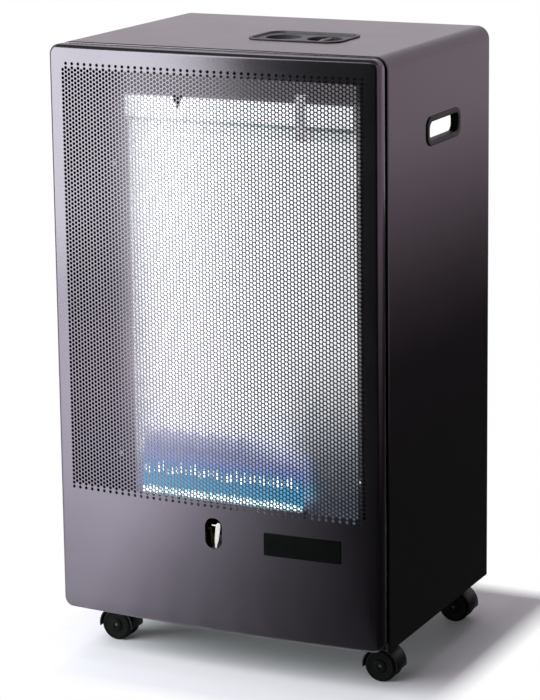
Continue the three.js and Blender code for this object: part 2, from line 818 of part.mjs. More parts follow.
function fireboxCasing() {
  const back = fireboxHalfWidth + liner;
  const mouth = fireboxMouth + liner;
  const innerBackY = fireboxBackY - liner;
  const z0 = fireboxBottom - liner;
  const z1 = fireboxTop + liner;
  const rim = box(-mouth - fireboxRim, mouth + fireboxRim, fireboxFrontY, fireboxFrontY + liner,
    z0 - fireboxRim, z1 + fireboxRim);
  const outside = polygon([
    [-mouth, fireboxFrontY], [mouth, fireboxFrontY], [back, fireboxBackY], [-back, fireboxBackY],
  ]);
  const inside = polygon([
    [-fireboxMouth, fireboxFrontY - 1], [fireboxMouth, fireboxFrontY - 1],
    [fireboxMouth, fireboxFrontY], [fireboxHalfWidth, innerBackY],
    [-fireboxHalfWidth, innerBackY], [-fireboxMouth, fireboxFrontY],
  ]);
  return carve(alongZ(outside, z0, z1), {
    add: [rim],
    cut: [
      alongZ(inside, fireboxBottom, fireboxTop),
      uprightCylinder(burnerInletX, burnerY, z0 - 1, fireboxBottom + 1,
        burnerInletRadius + seatGap, 16),
    ],
  });
}

function reflectorSheet() {
  const x = fireboxHalfWidth - seatGap;
  return box(-x, x, reflectorBackY - reflectorThickness, reflectorBackY,
    fireboxBottom + seatGap, reflectorTop);
}

const capFrontY = reflectorBackY - reflectorCapReach;
const capTop = reflectorTop + seatGap + reflectorCapHeight;

function reflectorCap() {
  const x = fireboxHalfWidth - seatGap;
  const z0 = reflectorTop + seatGap;
  const profile = polygon([
    [capFrontY, z0], [capFrontY + liner, z0], [capFrontY + liner, capTop - liner],
    [reflectorBackY, capTop - liner], [reflectorBackY, capTop], [capFrontY, capTop],
  ]);
  return alongX(profile, -x, x);
}

function reflectorClip() {
  const z1 = capTop + clipRise;
  const profile = polygon([
    [clipX - clipWidth / 2, z1], [clipX, z1 - clipHeight], [clipX + clipWidth / 2, z1],
  ]);
  return alongY(profile, capFrontY - seatGap - liner, capFrontY - seatGap);
}

function reflectorBrace() {
  const z1 = capTop + braceRise;
  const y1 = capFrontY - seatGap;
  const front = box(braceX - braceWidth / 2, braceX + braceWidth / 2, y1 - liner, y1,
    z1 - braceHeight, z1);
  const top = box(braceX - braceWidth / 2, braceX + braceWidth / 2, y1 - liner,
    reflectorBackY, z1 - liner, z1);
  return carve(front, { add: [top] });
}

function burnerTube() {
  const x0 = burnerCentreX - burnerLength / 2;
  const x1 = burnerCentreX + burnerLength / 2;
  const y0 = burnerY - burnerWidth / 2;
  const y1 = burnerY + burnerWidth / 2;
  const z1 = burnerBottom + burnerHeight;
  const w = burnerWall;
  const pitch = burnerLength / burnerPorts;
  const ports = Array.from({ length: burnerPorts }, (_, i) => {
    const x = x0 + (i + 0.5) * pitch;
    return box(x - portWidth / 2, x + portWidth / 2, burnerY - portLength / 2,
      burnerY + portLength / 2, z1 - w - 1, z1 + 1);
  });
  return carve(box(x0, x1, y0, y1, burnerBottom, z1), {
    add: [uprightCylinder(burnerInletX, burnerY, burnerInletBottom, burnerBottom + w,
      burnerInletRadius, 16)],
    cut: [
      box(x0 + w, x1 - w, y0 + w, y1 - w, burnerBottom + w, z1 - w),
      uprightCylinder(burnerInletX, burnerY, burnerInletBottom - 1, burnerBottom + w + 1,
        burnerInletRadius - w, 16),
      ...ports,
    ],
  });
}

function burnerBracket(side) {
  const end = burnerCentreX + (side * burnerLength) / 2 + side * seatGap;
  const far = end + side * burnerBracketFoot;
  const upright = end + side * liner;
  const y0 = burnerY - burnerBracketWidth / 2;
  const y1 = burnerY + burnerBracketWidth / 2;
  return carve(
    box(Math.min(end, far), Math.max(end, far), y0, y1, burnerBottom, burnerBottom + liner), {
      add: [box(Math.min(end, upright), Math.max(end, upright), y0, y1,
        burnerBottom, burnerBottom + burnerBracketRise)],
    });
}

// ---------------------------------------------------------------- pilot

const probeX = pilotCentreX - pilotPitch;
const electrodeX = pilotCentreX + pilotPitch;

function pilotBracket() {
  const y1 = pilotPlateY;
  const x0 = pilotCentreX - pilotPlateWidth / 2;
  const x1 = pilotCentreX + pilotPlateWidth / 2;
  const hole = (x, radius) => uprightCylinder(x, pilotY, pilotShelfHeight - 1,
    pilotShelfHeight + liner + 1, radius + seatGap, 12);
  return carve(box(x0, x1, y1 - liner, y1, pilotShelfHeight - pilotPlateDrop,
    pilotShelfHeight + pilotPlateRise), {
    add: [box(x0, x1, pilotY - pilotShelfReach, y1, pilotShelfHeight, pilotShelfHeight + liner)],
    cut: [
      hole(pilotCentreX, pilotBurnerRadius), hole(probeX, probeRadius),
      hole(electrodeX, ceramicRadius),
      ...pilotFeedHoles(y1 - liner - 1, y1 + 1),
    ],
  });
}

// Round post standing in the pilot shelf on a collar, narrowed over its last "taper".
function pilotPost(radius, rise, taper) {
  const seat = liner + seatGap;
  const shoulder = seat + pilotCollarHeight;
  const profile = [
    [0, -pilotFoot], [radius, -pilotFoot], [radius, seat], [radius + pilotCollarRim, seat],
    [radius + pilotCollarRim, shoulder], [radius, shoulder], [radius, rise - taper],
    [radius - taper / 3, rise], [0, rise],
  ];
  const points = profile.map(([r, height]) => new THREE.Vector2(r, height));
  return new THREE.LatheGeometry(points, 12).rotateX(Math.PI / 2);
}

function sparkElectrode() {
  const post = pilotPost(ceramicRadius, ceramicRise, 2);
  const wire = bentPipe([
    [0, 0, ceramicRise - 3], [0, 0, sparkWireRise], [sparkGap - pilotPitch, 0, sparkWireRise],
  ], sparkWireRadius, 3, 6);
  return carve(post, { add: [wire] });
}

// ---------------------------------------------------------------- controls

function controlBezel() {
  const flangeBottom = bodyTop + seatGap;
  const recessFloor = bodyTop - bezelRecess;
  const neck = bezelFlangeBorder + seatGap;
  const well = (x) => uprightCylinder(x, bezelY, bezelFloor + wellFloor, bodyTop, wellRadius, 28);
  return carve(alongZ(bezelRectangle(0), flangeBottom, flangeBottom + bezelFlange), {
    add: [alongZ(bezelRectangle(neck), bezelFloor, flangeBottom + bezelFlange / 2)],
    cut: [
      alongZ(bezelRectangle(neck + bezelWall), recessFloor, flangeBottom + bezelFlange + 1),
      well(knobX), well(buttonX),
      uprightCylinder(knobX, bezelY, bezelFloor - 1, bezelFloor + wellFloor + 1,
        spindleRadius + spindleClearance, 16),
      uprightCylinder(buttonX, bezelY, bezelFloor - 1, bezelFloor + wellFloor + 1,
        buttonStemRadius + spindleClearance, 16),
    ],
  });
}

const knobTop = bodyTop - knobBelowTop;
const knobDiscTop = knobTop - knobGripHeight;
const knobDiscBottom = knobDiscTop - knobDiscHeight;
const spindleTop = knobDiscBottom + spindleInKnob;

function controlKnob() {
  const disc = uprightCylinder(0, 0, knobDiscBottom, knobDiscTop, knobRadius, 32);
  const reach = knobRadius - knobGripInset;
  const grip = alongZ(roundedRectangle(-knobGripWidth / 2, knobGripWidth / 2, -reach, reach,
    knobGripWidth / 2), knobDiscTop - 1, knobTop);
  const socket = uprightCylinder(0, 0, knobDiscBottom - 1, spindleTop + seatGap,
    spindleRadius + seatGap, 16);
  return carve(disc, { add: [grip], cut: [socket] });
}

function valveSpindle() {
  return uprightCylinder(0, 0, valveTop - spindleReach, spindleTop, spindleRadius, 16);
}

const collarBottom = valveBracketFloor + seatGap + knobTravel + collarMargin;

function spindleCollar() {
  return carve(uprightCylinder(0, 0, collarBottom, collarBottom + collarHeight, collarRadius, 20), {
    cut: [uprightCylinder(0, 0, collarBottom - 1, collarBottom + collarHeight + 1,
      spindleRadius + seatGap, 16)],
  });
}

function valveBracket() {
  const x0 = knobX - valveWidth / 2 - valveBracketMargin;
  const x1 = knobX + valveWidth / 2 + valveBracketMargin;
  const y0 = bezelY - valveBracketWidth / 2;
  const y1 = bezelY + valveBracketWidth / 2;
  const ear = valveBracketEar;
  const earY = bezelY + bezelWidth / 2 + ear;
  const upright = (x) => box(x, x + sheet, y0, earY, valveBracketFloor, valveBracketTop);
  const foot = (xa, xb) => box(xa, xb, bezelY + bezelWidth / 2, earY,
    valveBracketTop - sheet, valveBracketTop);
  const bezelRoom = box(x0 - ear - 1, x1 + ear + 1, y0 - 1, bezelY + bezelWidth / 2 - 1,
    bezelFloor - 2, valveBracketTop + 1);
  return carve(box(x0, x1, y0, y1, valveBracketFloor - sheet, valveBracketFloor), {
    add: [
      carve(upright(x0), { add: [foot(x0 - ear, x0 + sheet)] }),
      carve(upright(x1 - sheet), { add: [foot(x1 - sheet, x1 + ear)] }),
      box(x0, x1, y0, earY, valveBracketFloor - sheet, valveBracketFloor),
    ],
    cut: [
      bezelRoom,
      uprightCylinder(knobX, bezelY, valveBracketFloor - sheet - 1, valveBracketFloor + 1,
        spindleRadius + spindleClearance, 16),
    ],
  });
}

function gasValve() {
  const body = box(-valveWidth / 2, valveWidth / 2, -valveDepth / 2, valveDepth / 2,
    valveBottom, valveTop);
  const dome = uprightCylinder(0, 0, valveBottom - valveDomeHeight, valveBottom + 1,
    valveDomeRadius, 20);
  return carve(body, {
    add: [dome],
    cut: [uprightCylinder(0, 0, valveTop - spindleReach - knobTravel - spindleBoreMargin,
      valveTop + 1, spindleRadius + seatGap, 16)],
  });
}

// Ridged nozzle for the supply hose, behind the valve.
function hoseInlet() {
  const profile = [
    [inletBoreRadius, 0], [inletFlangeRadius, 0], [inletFlangeRadius, inletFlangeLength],
    [inletNeckRadius, inletFlangeLength],
  ];
  for (let ridge = 0; ridge < inletRidges; ridge++) {
    const from = inletFlangeLength + (ridge + 0.5) * inletRidgePitch;
    profile.push([inletNeckRadius, from], [inletRidgeRadius, from + 1],
      [inletNeckRadius, from + inletRidgePitch - 1]);
  }
  profile.push([inletNeckRadius, inletLength], [inletBoreRadius, inletLength],
    [inletBoreRadius, 0]);
  const points = profile.map(([radius, height]) => new THREE.Vector2(radius, height));
  return new THREE.LatheGeometry(points, 12);
}

function piezoIgniter() {
  const top = bezelFloor - seatGap;
  return carve(uprightCylinder(0, 0, top - igniterLength, top, igniterRadius, 20), {
    cut: [uprightCylinder(0, 0, top - igniterBoreDepth, top + 1, buttonStemRadius + seatGap, 16)],
  });
}

const buttonBottom = bezelFloor + wellFloor + buttonTravel + buttonMargin;

function igniterButton() {
  return carve(uprightCylinder(0, 0, buttonBottom, buttonBottom + buttonHeight, buttonRadius, 24), {
    add: [uprightCylinder(0, 0, bezelFloor - buttonStemReach, buttonBottom + 1,
      buttonStemRadius, 16)],
  });
}

function handleTrim(side) {
  const near = halfWidth + seatGap;
  const far = near + gripFlange;
  const inside = halfWidth - gripNeckDepth;
  const neckBorder = gripFlangeBorder + seatGap;
  const flip = (x0, x1) => (side > 0 ? [x0, x1] : [-x1, -x0]);
  return carve(alongX(gripRectangle(0), ...flip(near, far)), {
    add: [alongX(gripRectangle(neckBorder), ...flip(inside, near + gripFlange / 2))],
    cut: [alongX(gripRectangle(gripBorder - 2), ...flip(inside - 1, far + 1))],
  });
}

// ---------------------------------------------------------------- pipes and leads

function mainGasPipe() {
  const r = mainPipeRadius;
  const x = knobX + mainPipeOutletX;
  const down = pipeRunY + r;
  const start = valveBottom + mainPipeOutletRise;
  return bentPipe([
    [x, bezelY - valveDepth / 2 - seatGap, start], [x, down, start],
    [x, down, start - mainPipeShift], [burnerInletX, down, start - 2 * mainPipeShift],
    [burnerInletX, down, mainPipeLow], [burnerInletX, burnerY, mainPipeLow],
    [burnerInletX, burnerY, burnerInletBottom - seatGap],
  ], r, 2 * r, 8);
}

// A thin line from the controls down the shield and through to the pilot.
function pilotLine(x0, y0, z0, slot, radius, standOff) {
  const x = pilotCentreX + slot * pilotPitch;
  const down = pipeRunY + radius + standOff;
  const top = z0 - pilotLineDrop;
  return bentPipe([
    [x0, y0, z0], [x0, y0, top], [x0, down, top], [x0, down, top - pilotLineDrop],
    [x, down, top - pilotLineShift], [x, down, feedHeight], [x, pilotY, feedHeight],
    [x, pilotY, pilotShelfHeight - pilotFoot - seatGap],
  ], radius, leadBend, 6);
}

// ---------------------------------------------------------------- casters

const casterPlateTop = trayUnderside - seatGap;
const racewayTop = casterPlateTop - casterPlateThickness;
const racewayBottom = racewayTop - racewayHeight;
const bossTop = racewayBottom - seatGap;
const hoodOuter = wheelRadius + hoodClearance + hoodWall;
const hoodInner = wheelRadius + hoodClearance;
const wheelInner = casterWeb / 2 + casterSideGap;
const wheelOuter = wheelInner + wheelWidth;

// A caster stands on its wheels with its stem on the local Z axis; the wheels trail along +X.
function casterPlate() {
  const half = casterPlateSize / 2;
  return carve(
    alongZ(roundedRectangle(-half, half, -half, half, casterPlateCornerRadius), racewayTop,
      casterPlateTop), {
      add: [uprightCylinder(0, 0, racewayBottom, racewayTop + 0.5, racewayRadius, 18)],
      cut: [uprightCylinder(0, 0, racewayBottom - 1, casterPlateTop + 1,
        stemRadius + stemClearance, 12)],
    });
}

function discAlongY(x, y0, y1, z, radius, sides) {
  return new THREE.CylinderGeometry(radius, radius, y1 - y0, sides)
    .translate(x, (y0 + y1) / 2, z);
}

function casterHood() {
  const x = casterTrail;
  const z = wheelRadius;
  const low = wheelRadius - hoodSkirt;
  const web = casterWeb / 2;
  return carve(discAlongY(x, -wheelOuter, wheelOuter, z, hoodOuter, 24), {
    add: [
      uprightCylinder(0, 0, z + swivelBossRise, bossTop, swivelBossRadius, 16),
      uprightCylinder(0, 0, bossTop - 1, casterPlateTop - 1, stemRadius, 12),
    ],
    cut: [
      discAlongY(x, web, wheelOuter + 1, z, hoodInner, 24),
      discAlongY(x, -wheelOuter - 1, -web, z, hoodInner, 24),
      discAlongY(x, -web - 1, web + 1, z, axleRadius + seatGap, 12),
      carve(box(x - hoodOuter - 1, x + hoodOuter + 1, -wheelOuter - 1, wheelOuter + 1,
        -hoodOuter, low), {
        cut: [discAlongY(x, -web, web, z, axleBossRadius, 20)],
      }),
    ],
  });
}

function casterAxle() {
  const reach = wheelOuter - axleInset;
  return discAlongY(casterTrail, -reach, reach, wheelRadius, axleRadius, 12);
}

function casterWheel(side) {
  const bore = axleRadius + seatGap;
  const r = wheelRadius;
  const profile = [
    [bore, 0], [r - wheelInnerChamfer, 0], [r, wheelInnerChamfer],
    [r, wheelWidth - wheelShoulder], [r - wheelShoulder, wheelWidth - wheelDish / 3],
    [wheelHubRadius + wheelHubSlope, wheelWidth - wheelDish], [wheelHubRadius, wheelWidth],
    [bore, wheelWidth], [bore, 0],
  ].map(([radius, height]) => new THREE.Vector2(radius, height));
  const wheel = new THREE.LatheGeometry(profile, 20);
  if (side < 0) wheel.rotateX(Math.PI);
  return wheel.translate(casterTrail, side * wheelInner, wheelRadius);
}

function caster(name, x, y, heading) {
  const group = new THREE.Group();
  group.position.set(x, y, 0);
  group.rotation.z = heading;
  group.add(
    sub(`${name}_plate`, casterPlate(), galvanised),
    sub(`${name}_hood`, casterHood(), blackPlastic),
    sub(`${name}_axle`, casterAxle(), brightSteel),
    sub(`${name}_wheel_a`, casterWheel(1), wheelRubber),
    sub(`${name}_wheel_b`, casterWheel(-1), wheelRubber),
  );
  return group;
}

// ---------------------------------------------------------------- assembly

const heater = new THREE.Group();

const panel = sub('front_panel', frontPanel(), charcoalPaint, [0, panelBackY, panelMiddle]);
panel.rotation.x = Math.PI / 2;

const cover = sub('rear_cover', rearCover(), charcoalPaint,
  [0, shellBackY + seatGap, (coverTop + coverBottom) / 2]);
cover.rotation.set(Math.PI / 2, 0, Math.PI, 'ZYX');

const inlet = sub('hose_inlet', hoseInlet(), brass,
  [knobX, bezelY + valveDepth / 2 + seatGap, valveBottom + inletRise]);

heater.add(
  sub('cabinet_shell', cabinetShell(), charcoalPaint),
  sub('front_frame', frontFrame(), blackPaint),
  panel,
  sub('badge_plate', badgePlate(), glossBlack),
  sub('base_tray', baseTray(), blackPaint),
  sub('heat_shield', heatShield(), galvanised),
  sub('rear_rail', rearRail(), charcoalPaint),
  sub('cover_catch', coverCatch(), brightSteel),
  cover,
  sub('firebox_casing', fireboxCasing(), blackPaint),
  sub('reflector_sheet', reflectorSheet(), brightSteel),
  sub('reflector_cap', reflectorCap(), brightSteel),
  sub('reflector_clip', reflectorClip(), blackPaint),
  sub('reflector_brace', reflectorBrace(), galvanised),
  sub('burner_tube', burnerTube(), galvanised),
  sub('burner_bracket_left', burnerBracket(-1), galvanised),
  sub('burner_bracket_right', burnerBracket(1), galvanised),
  sub('pilot_bracket', pilotBracket(), galvanised),
  sub('pilot_burner', pilotPost(pilotBurnerRadius, pilotBurnerRise, 3), brass,
    [pilotCentreX, pilotY, pilotShelfHeight]),
  sub('thermocouple_probe', pilotPost(probeRadius, probeRise, 3), copper,
    [probeX, pilotY, pilotShelfHeight]),
  sub('spark_electrode', sparkElectrode(), ceramic, [electrodeX, pilotY, pilotShelfHeight]),
  sub('control_bezel', controlBezel(), blackPlastic),
  sub('control_knob', controlKnob(), blackPlastic, [knobX, bezelY, 0]),
  sub('valve_spindle', valveSpindle(), brass, [knobX, bezelY, 0]),
  sub('spindle_collar', spindleCollar(), brightSteel, [knobX, bezelY, 0]),
  sub('valve_bracket', valveBracket(), galvanised),
  sub('gas_valve', gasValve(), brass, [knobX, bezelY, 0]),
  inlet,
  sub('piezo_igniter', piezoIgniter(), blackPlastic, [buttonX, bezelY, 0]),
  sub('igniter_button', igniterButton(), blackPlastic, [buttonX, bezelY, 0]),
  sub('handle_trim_right', handleTrim(1), blackPlastic),
  sub('handle_trim_left', handleTrim(-1), blackPlastic),
  sub('main_gas_pipe', mainGasPipe(), copper),
  sub('pilot_gas_pipe', pilotLine(knobX - valveWidth / 2 + pilotPipeInset,
    bezelY + pilotPipeOffset, valveBottom - seatGap, 0, pilotPipeRadius, 0), copper),
  sub('thermocouple_lead', pilotLine(knobX - valveWidth / 2 + probeLeadInset,
    bezelY + probeLeadOffset, valveBottom - seatGap, -1, leadRadius, 0), copper),
  sub('igniter_lead', pilotLine(buttonX, bezelY, bezelFloor - igniterLength - 2 * seatGap, 1,
    leadRadius, 2 * pilotPipeRadius + 1), blackPlastic),
);

const frontWheelsY = shellFrontY + casterFrontInset;
const rearWheelsY = shellBackY - casterRearInset;
heater.add(
  caster('caster_front_right', casterStemX, frontWheelsY, 0),
  caster('caster_front_left', -casterStemX, frontWheelsY, Math.PI),
  caster('caster_rear_right', casterStemX, rearWheelsY, 0),
  caster('caster_rear_left', -casterStemX, rearWheelsY, Math.PI),
);

export default heater;
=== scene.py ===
"""Portable gas cabinet heater: the fine surfaces and finishes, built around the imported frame.

Metres, +Z up. The front faces -Y, and the origin is on the floor under the cabinet's middle.
"""

import json
import math
import random

import bmesh
import bpy
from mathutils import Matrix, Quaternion, Vector
from mathutils.geometry import delaunay_2d_cdt

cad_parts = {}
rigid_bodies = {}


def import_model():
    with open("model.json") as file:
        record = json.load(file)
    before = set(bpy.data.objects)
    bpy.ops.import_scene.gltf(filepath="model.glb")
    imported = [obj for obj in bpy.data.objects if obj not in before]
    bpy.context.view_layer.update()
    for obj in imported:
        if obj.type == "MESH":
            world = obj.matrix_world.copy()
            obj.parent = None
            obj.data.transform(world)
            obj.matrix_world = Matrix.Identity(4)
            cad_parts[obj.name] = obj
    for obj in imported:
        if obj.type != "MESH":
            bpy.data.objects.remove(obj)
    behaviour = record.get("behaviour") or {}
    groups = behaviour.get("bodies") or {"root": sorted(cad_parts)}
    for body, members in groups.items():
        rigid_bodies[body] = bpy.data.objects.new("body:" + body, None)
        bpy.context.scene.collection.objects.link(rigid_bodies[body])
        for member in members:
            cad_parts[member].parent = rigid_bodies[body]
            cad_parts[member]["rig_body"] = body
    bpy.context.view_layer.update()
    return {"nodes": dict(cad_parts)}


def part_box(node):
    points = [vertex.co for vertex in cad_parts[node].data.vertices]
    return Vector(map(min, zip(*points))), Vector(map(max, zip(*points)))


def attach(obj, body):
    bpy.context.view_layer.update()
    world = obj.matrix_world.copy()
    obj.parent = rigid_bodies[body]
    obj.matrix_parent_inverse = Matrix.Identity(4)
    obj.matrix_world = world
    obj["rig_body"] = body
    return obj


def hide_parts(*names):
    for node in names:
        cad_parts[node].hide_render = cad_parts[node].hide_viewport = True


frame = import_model()

MM = 0.001


# ---------------------------------------------------------------- sizes


def middle_of(node):
    low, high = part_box(node)
    return (low + high) / 2


def in_mm(*pairs):
    """Pairs of millimetres as metres."""
    return [(first * MM, second * MM) for first, second in pairs]


panel_low, panel_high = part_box("front_panel")
shell_low, shell_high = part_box("cabinet_shell")
cover_low, cover_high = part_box("rear_cover")
bezel_low, bezel_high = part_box("control_bezel")
burner_low, burner_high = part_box("burner_tube")

SHEET = 1.2 * MM
WELD = 0.002 * MM
TOUCH = 1e-9

HALF_WIDTH = panel_high.x
BOW = 8.2 * MM
BOW_RADIUS = (HALF_WIDTH**2 + BOW**2) / (2 * BOW)
CROWN_Y = panel_low.y
PANEL_MIDDLE = (panel_high.z + panel_low.z) / 2
PANEL_HALF_HEIGHT = (panel_high.z - panel_low.z) / 2
PANEL_EDGE = 6 * MM
PANEL_CORNER = 12 * MM
PANEL_LIP = 5.7 * MM

HOLE_PITCH = 5 * MM
HALF_PITCH = HOLE_PITCH / 2
HOLE_RADIUS = 2.0 * MM
HOLE_DEPTH = 0.85 * SHEET
HOLE_SIDES = 12
HOLE_JOINS = (0, 2, 5, 6, 8, 10, 12)
COLUMN_PITCH = HOLE_PITCH * math.cos(math.pi / 6)
HOLE_COLUMNS = 90
HOLE_ROWS = 103
TOP_HOLE = 736.25 * MM
SHORT_COLUMN_DROP = 1.5 * HOLE_PITCH
MESH_BANDS = 3

SLOT_WIDTH = 22.5 * MM
SLOT_HEIGHT = 38.5 * MM
SLOT_CENTRE = 185.3 * MM

BADGE = (97 * MM, 27.3 * MM, 1.2 * MM)
BADGE_THICKNESS = 1.2 * MM

SHELL_BEND = 16 * MM
SHELL_EDGE = 1.8 * MM
FRONT_LIP = 5.7 * MM
REAR_LIP = 12 * MM
BOTTOM_LIP = 15 * MM
BEND_SUPPORT = 1 * MM

GRIP = (102 * MM, 35 * MM, 12 * MM)
GRIP_CUT = 4.5 * MM
GRIP_TIGHTEN = 0.5

BEZEL = (bezel_high.x - bezel_low.x, bezel_high.y - bezel_low.y, 20 * MM)
BEZEL_CUT = 4 * MM
WELL_RADIUS = 21.5 * MM
NECK_GAP = 0.3 * MM

FIREBOX_BACK = 150 * MM
FIREBOX_FLARE = 23 * MM
FIREBOX_DEPTH = 38 * MM
SCREW_HEIGHTS = (609 * MM, 249 * MM)

COVER_HALF_WIDTH = (cover_high.x - cover_low.x) / 2
COVER_HALF_HEIGHT = (cover_high.z - cover_low.z) / 2
COVER_EDGE = 5 * MM
COVER_BORDER = 34 * MM
COVER_SLOPE = 34 * MM
COVER_BULGE = 40 * MM
COVER_SLOTS = 5
COVER_SLOT = (120 * MM, 6 * MM, 3 * MM)
COVER_SLOT_PITCH = 18 * MM
COVER_SLOT_MARGIN = 18 * MM

WHEEL_RADIUS = 20 * MM
WHEEL_FAR = 14.8 * MM
CASTER_TRAIL = 14 * MM
HOOD_RADIUS = 23.3 * MM
HOOD_INSIDE = 21.5 * MM
HOOD_HEM = 3.5 * MM
HOOD_EASE = 1.2 * MM


# ---------------------------------------------------------------- finishes


class Signal:
    """One output in a node sheet. Arithmetic on it adds the Math nodes that work it out."""

    def __init__(self, sheet, socket):
        self.sheet = sheet
        self.socket = socket

    def math(self, operation, *values):
        return self.sheet.node("Math", {"operation": operation}, dict(enumerate(values)))

    def __add__(self, other):
        return self.math("ADD", self, other)

    def __sub__(self, other):
        return self.math("SUBTRACT", self, other)

    def __rsub__(self, other):
        return self.math("SUBTRACT", other, self)

    def __mul__(self, other):
        return self.math("MULTIPLY", self, other)

    def __pow__(self, other):
        return self.math("POWER", self, other)

    def __abs__(self):
        return self.math("ABSOLUTE", self)

    def or_more(self, other):
        return self.math("MAXIMUM", self, other)

    __radd__ = __add__
    __rmul__ = __mul__


class NodeSheet:
    """The node tree of a material or of the world."""

    def __init__(self, owner):
        owner.use_nodes = True
        self.tree = owner.node_tree

    def node(self, kind, settings=None, sockets=None, output=0):
        """An output of a new node. Its settings come first, then its sockets."""
        made = self.tree.nodes.new("ShaderNode" + kind)
        for label, value in (settings or {}).items():
            if label == "stops":
                set_stops(made.color_ramp, value)
            else:
                setattr(made, label, value)
        for label, value in (sockets or {}).items():
            self.feed(made.inputs[label], value)
        return Signal(self, made.outputs[output])

    def feed(self, socket, value):
        if isinstance(value, Signal):
            self.tree.links.new(value.socket, socket)
        else:
            socket.default_value = value

    def looked_at(self):
        """1 for what the eye sees directly, mirrored or through glass, 0 for light on surfaces."""
        camera, glossy, through = (self.node("LightPath", output=f"Is {ray} Ray")
                                   for ray in ("Camera", "Glossy", "Transmission"))
        return camera.or_more(glossy).or_more(through)

    def blend(self, end, share, first, second):
        """Ends the sheet in a share of two shaders."""
        mixed = self.node("MixShader", {}, {0: share, 1: first, 2: second})
        self.feed(self.tree.nodes[end].inputs["Surface"], mixed)


class Finish(NodeSheet):
    """A material, its slot, its principled shader and the nodes that feed it."""

    def __init__(self, name, slot=None, **constants):
        self.material = bpy.data.materials.new(name)
        super().__init__(self.material)
        self.slot = slot
        self.shader = self.tree.nodes["Principled BSDF"]
        for label, value in constants.items():
            self.shade(label.replace("_", " "), value)

    def shade(self, label, value):
        self.feed(self.shader.inputs[label], value)

    def place(self):
        """Where a point lies on its piece, in metres."""
        return self.node("TexCoord", output="Object")

    def axis(self, name):
        return self.node("SeparateXYZ", {}, {"Vector": self.place()}, output=name)

    def speckle(self, size, detail=2.0, rise=1.0):
        """Cloudy variation, from 0 to 1, in grains of this size, drawn out along Z by a low rise."""
        vector = self.place()
        if rise != 1.0:
            sockets = {0: vector, 1: (1, 1, rise)}
            vector = self.node("VectorMath", {"operation": "MULTIPLY"}, sockets)
        return self.node("TexNoise", {}, {"Vector": vector, "Scale": 1 / size, "Detail": detail})

    def mixed(self, share, first, second):
        """Colour between two colours."""
        sockets = {0: share, 6: first, 7: second}
        return self.node("Mix", {"data_type": "RGBA"}, sockets, output=2)

    def ramp(self, value, stops):
        return self.node("ValToRGB", {"stops": stops}, {"Fac": value})

    def level(self, value, low, high, to_low=0.0, to_high=1.0):
        """A value's range mapped onto another, clamped."""
        sockets = {"Value": value, "From Min": low, "From Max": high}
        sockets.update({"To Min": to_low, "To Max": to_high})
        return self.node("MapRange", {"clamp": True}, sockets)

    def bump(self, height, distance):
        sockets = {"Height": height, "Distance": distance, "Strength": 1.0}
        self.shade("Normal", self.node("Bump", {}, sockets))


def set_stops(color_ramp, stops):
    while len(color_ramp.elements) < len(stops):
        color_ramp.elements.new(0.5)
    for element, (position, colour) in zip(color_ramp.elements, stops):
        element.position = position
        element.color = colour


def tint(red, green, blue):
    return (red, green, blue, 1.0)


def grey(shade):
    return tint(shade, shade, shade)


def powder_paint(name, slot, shades, roughness, **constants):
    """Baked powder coat: fine orange peel, a metallic fleck and slow changes in sheen."""
    finish = Finish(name, slot, Metallic=0.98, **constants)
    cloud = finish.speckle(60 * MM)
    fleck = finish.speckle(0.9 * MM, detail=1.0)
    finish.shade("Base Color", finish.mixed(cloud * 0.6 + fleck * 0.4, *shades))
    finish.shade("Roughness", fleck * 0.08 + cloud * 0.05 + roughness)
    finish.bump(finish.speckle(1.3 * MM), 0.02 * MM)
    return finish


def moulded_plastic(name, shades, roughness, grain):
    """Injection moulded plastic with a fine spark-eroded grain."""
    finish = Finish(name, "black_plastic", Specular_IOR_Level=0.3)
    cloud = finish.speckle(20 * MM)
    finish.shade("Base Color", finish.mixed(cloud, *shades))
    finish.shade("Roughness", cloud * 0.1 + roughness)
    finish.bump(finish.speckle(0.5 * MM), grain)
    return finish


def gloss_plate():
    """Lacquered badge: deep black with the faintest waviness."""
    finish = Finish("gloss_black_lacquer", "gloss_black", Coat_Roughness=0.04,
                    Specular_IOR_Level=0.05)
    cloud = finish.speckle(12 * MM)
    finish.shade("Base Color", finish.mixed(cloud, grey(0.0015), grey(0.003)))
    finish.shade("Roughness", cloud * 0.06 + 0.1)
    finish.shade("Coat Weight", cloud * 0.02 + 0.03)
    finish.bump(finish.speckle(4 * MM), 0.01 * MM)
    return finish


def rolled_steel(name, shades, roughness, rise=0.05, **constants):
    """Bright or plated steel with rolling lines along Z."""
    finish = Finish(name, "bright_steel", Metallic=1.0, **constants)
    lines = finish.speckle(0.8 * MM, detail=3.0, rise=rise)
    cloud = finish.speckle(45 * MM)
    finish.shade("Base Color", finish.mixed(lines * 0.5 + cloud * 0.5, *shades))
    finish.shade("Roughness", lines * 0.12 + cloud * 0.06 + roughness)
    finish.bump(lines, 0.006 * MM)
    return finish


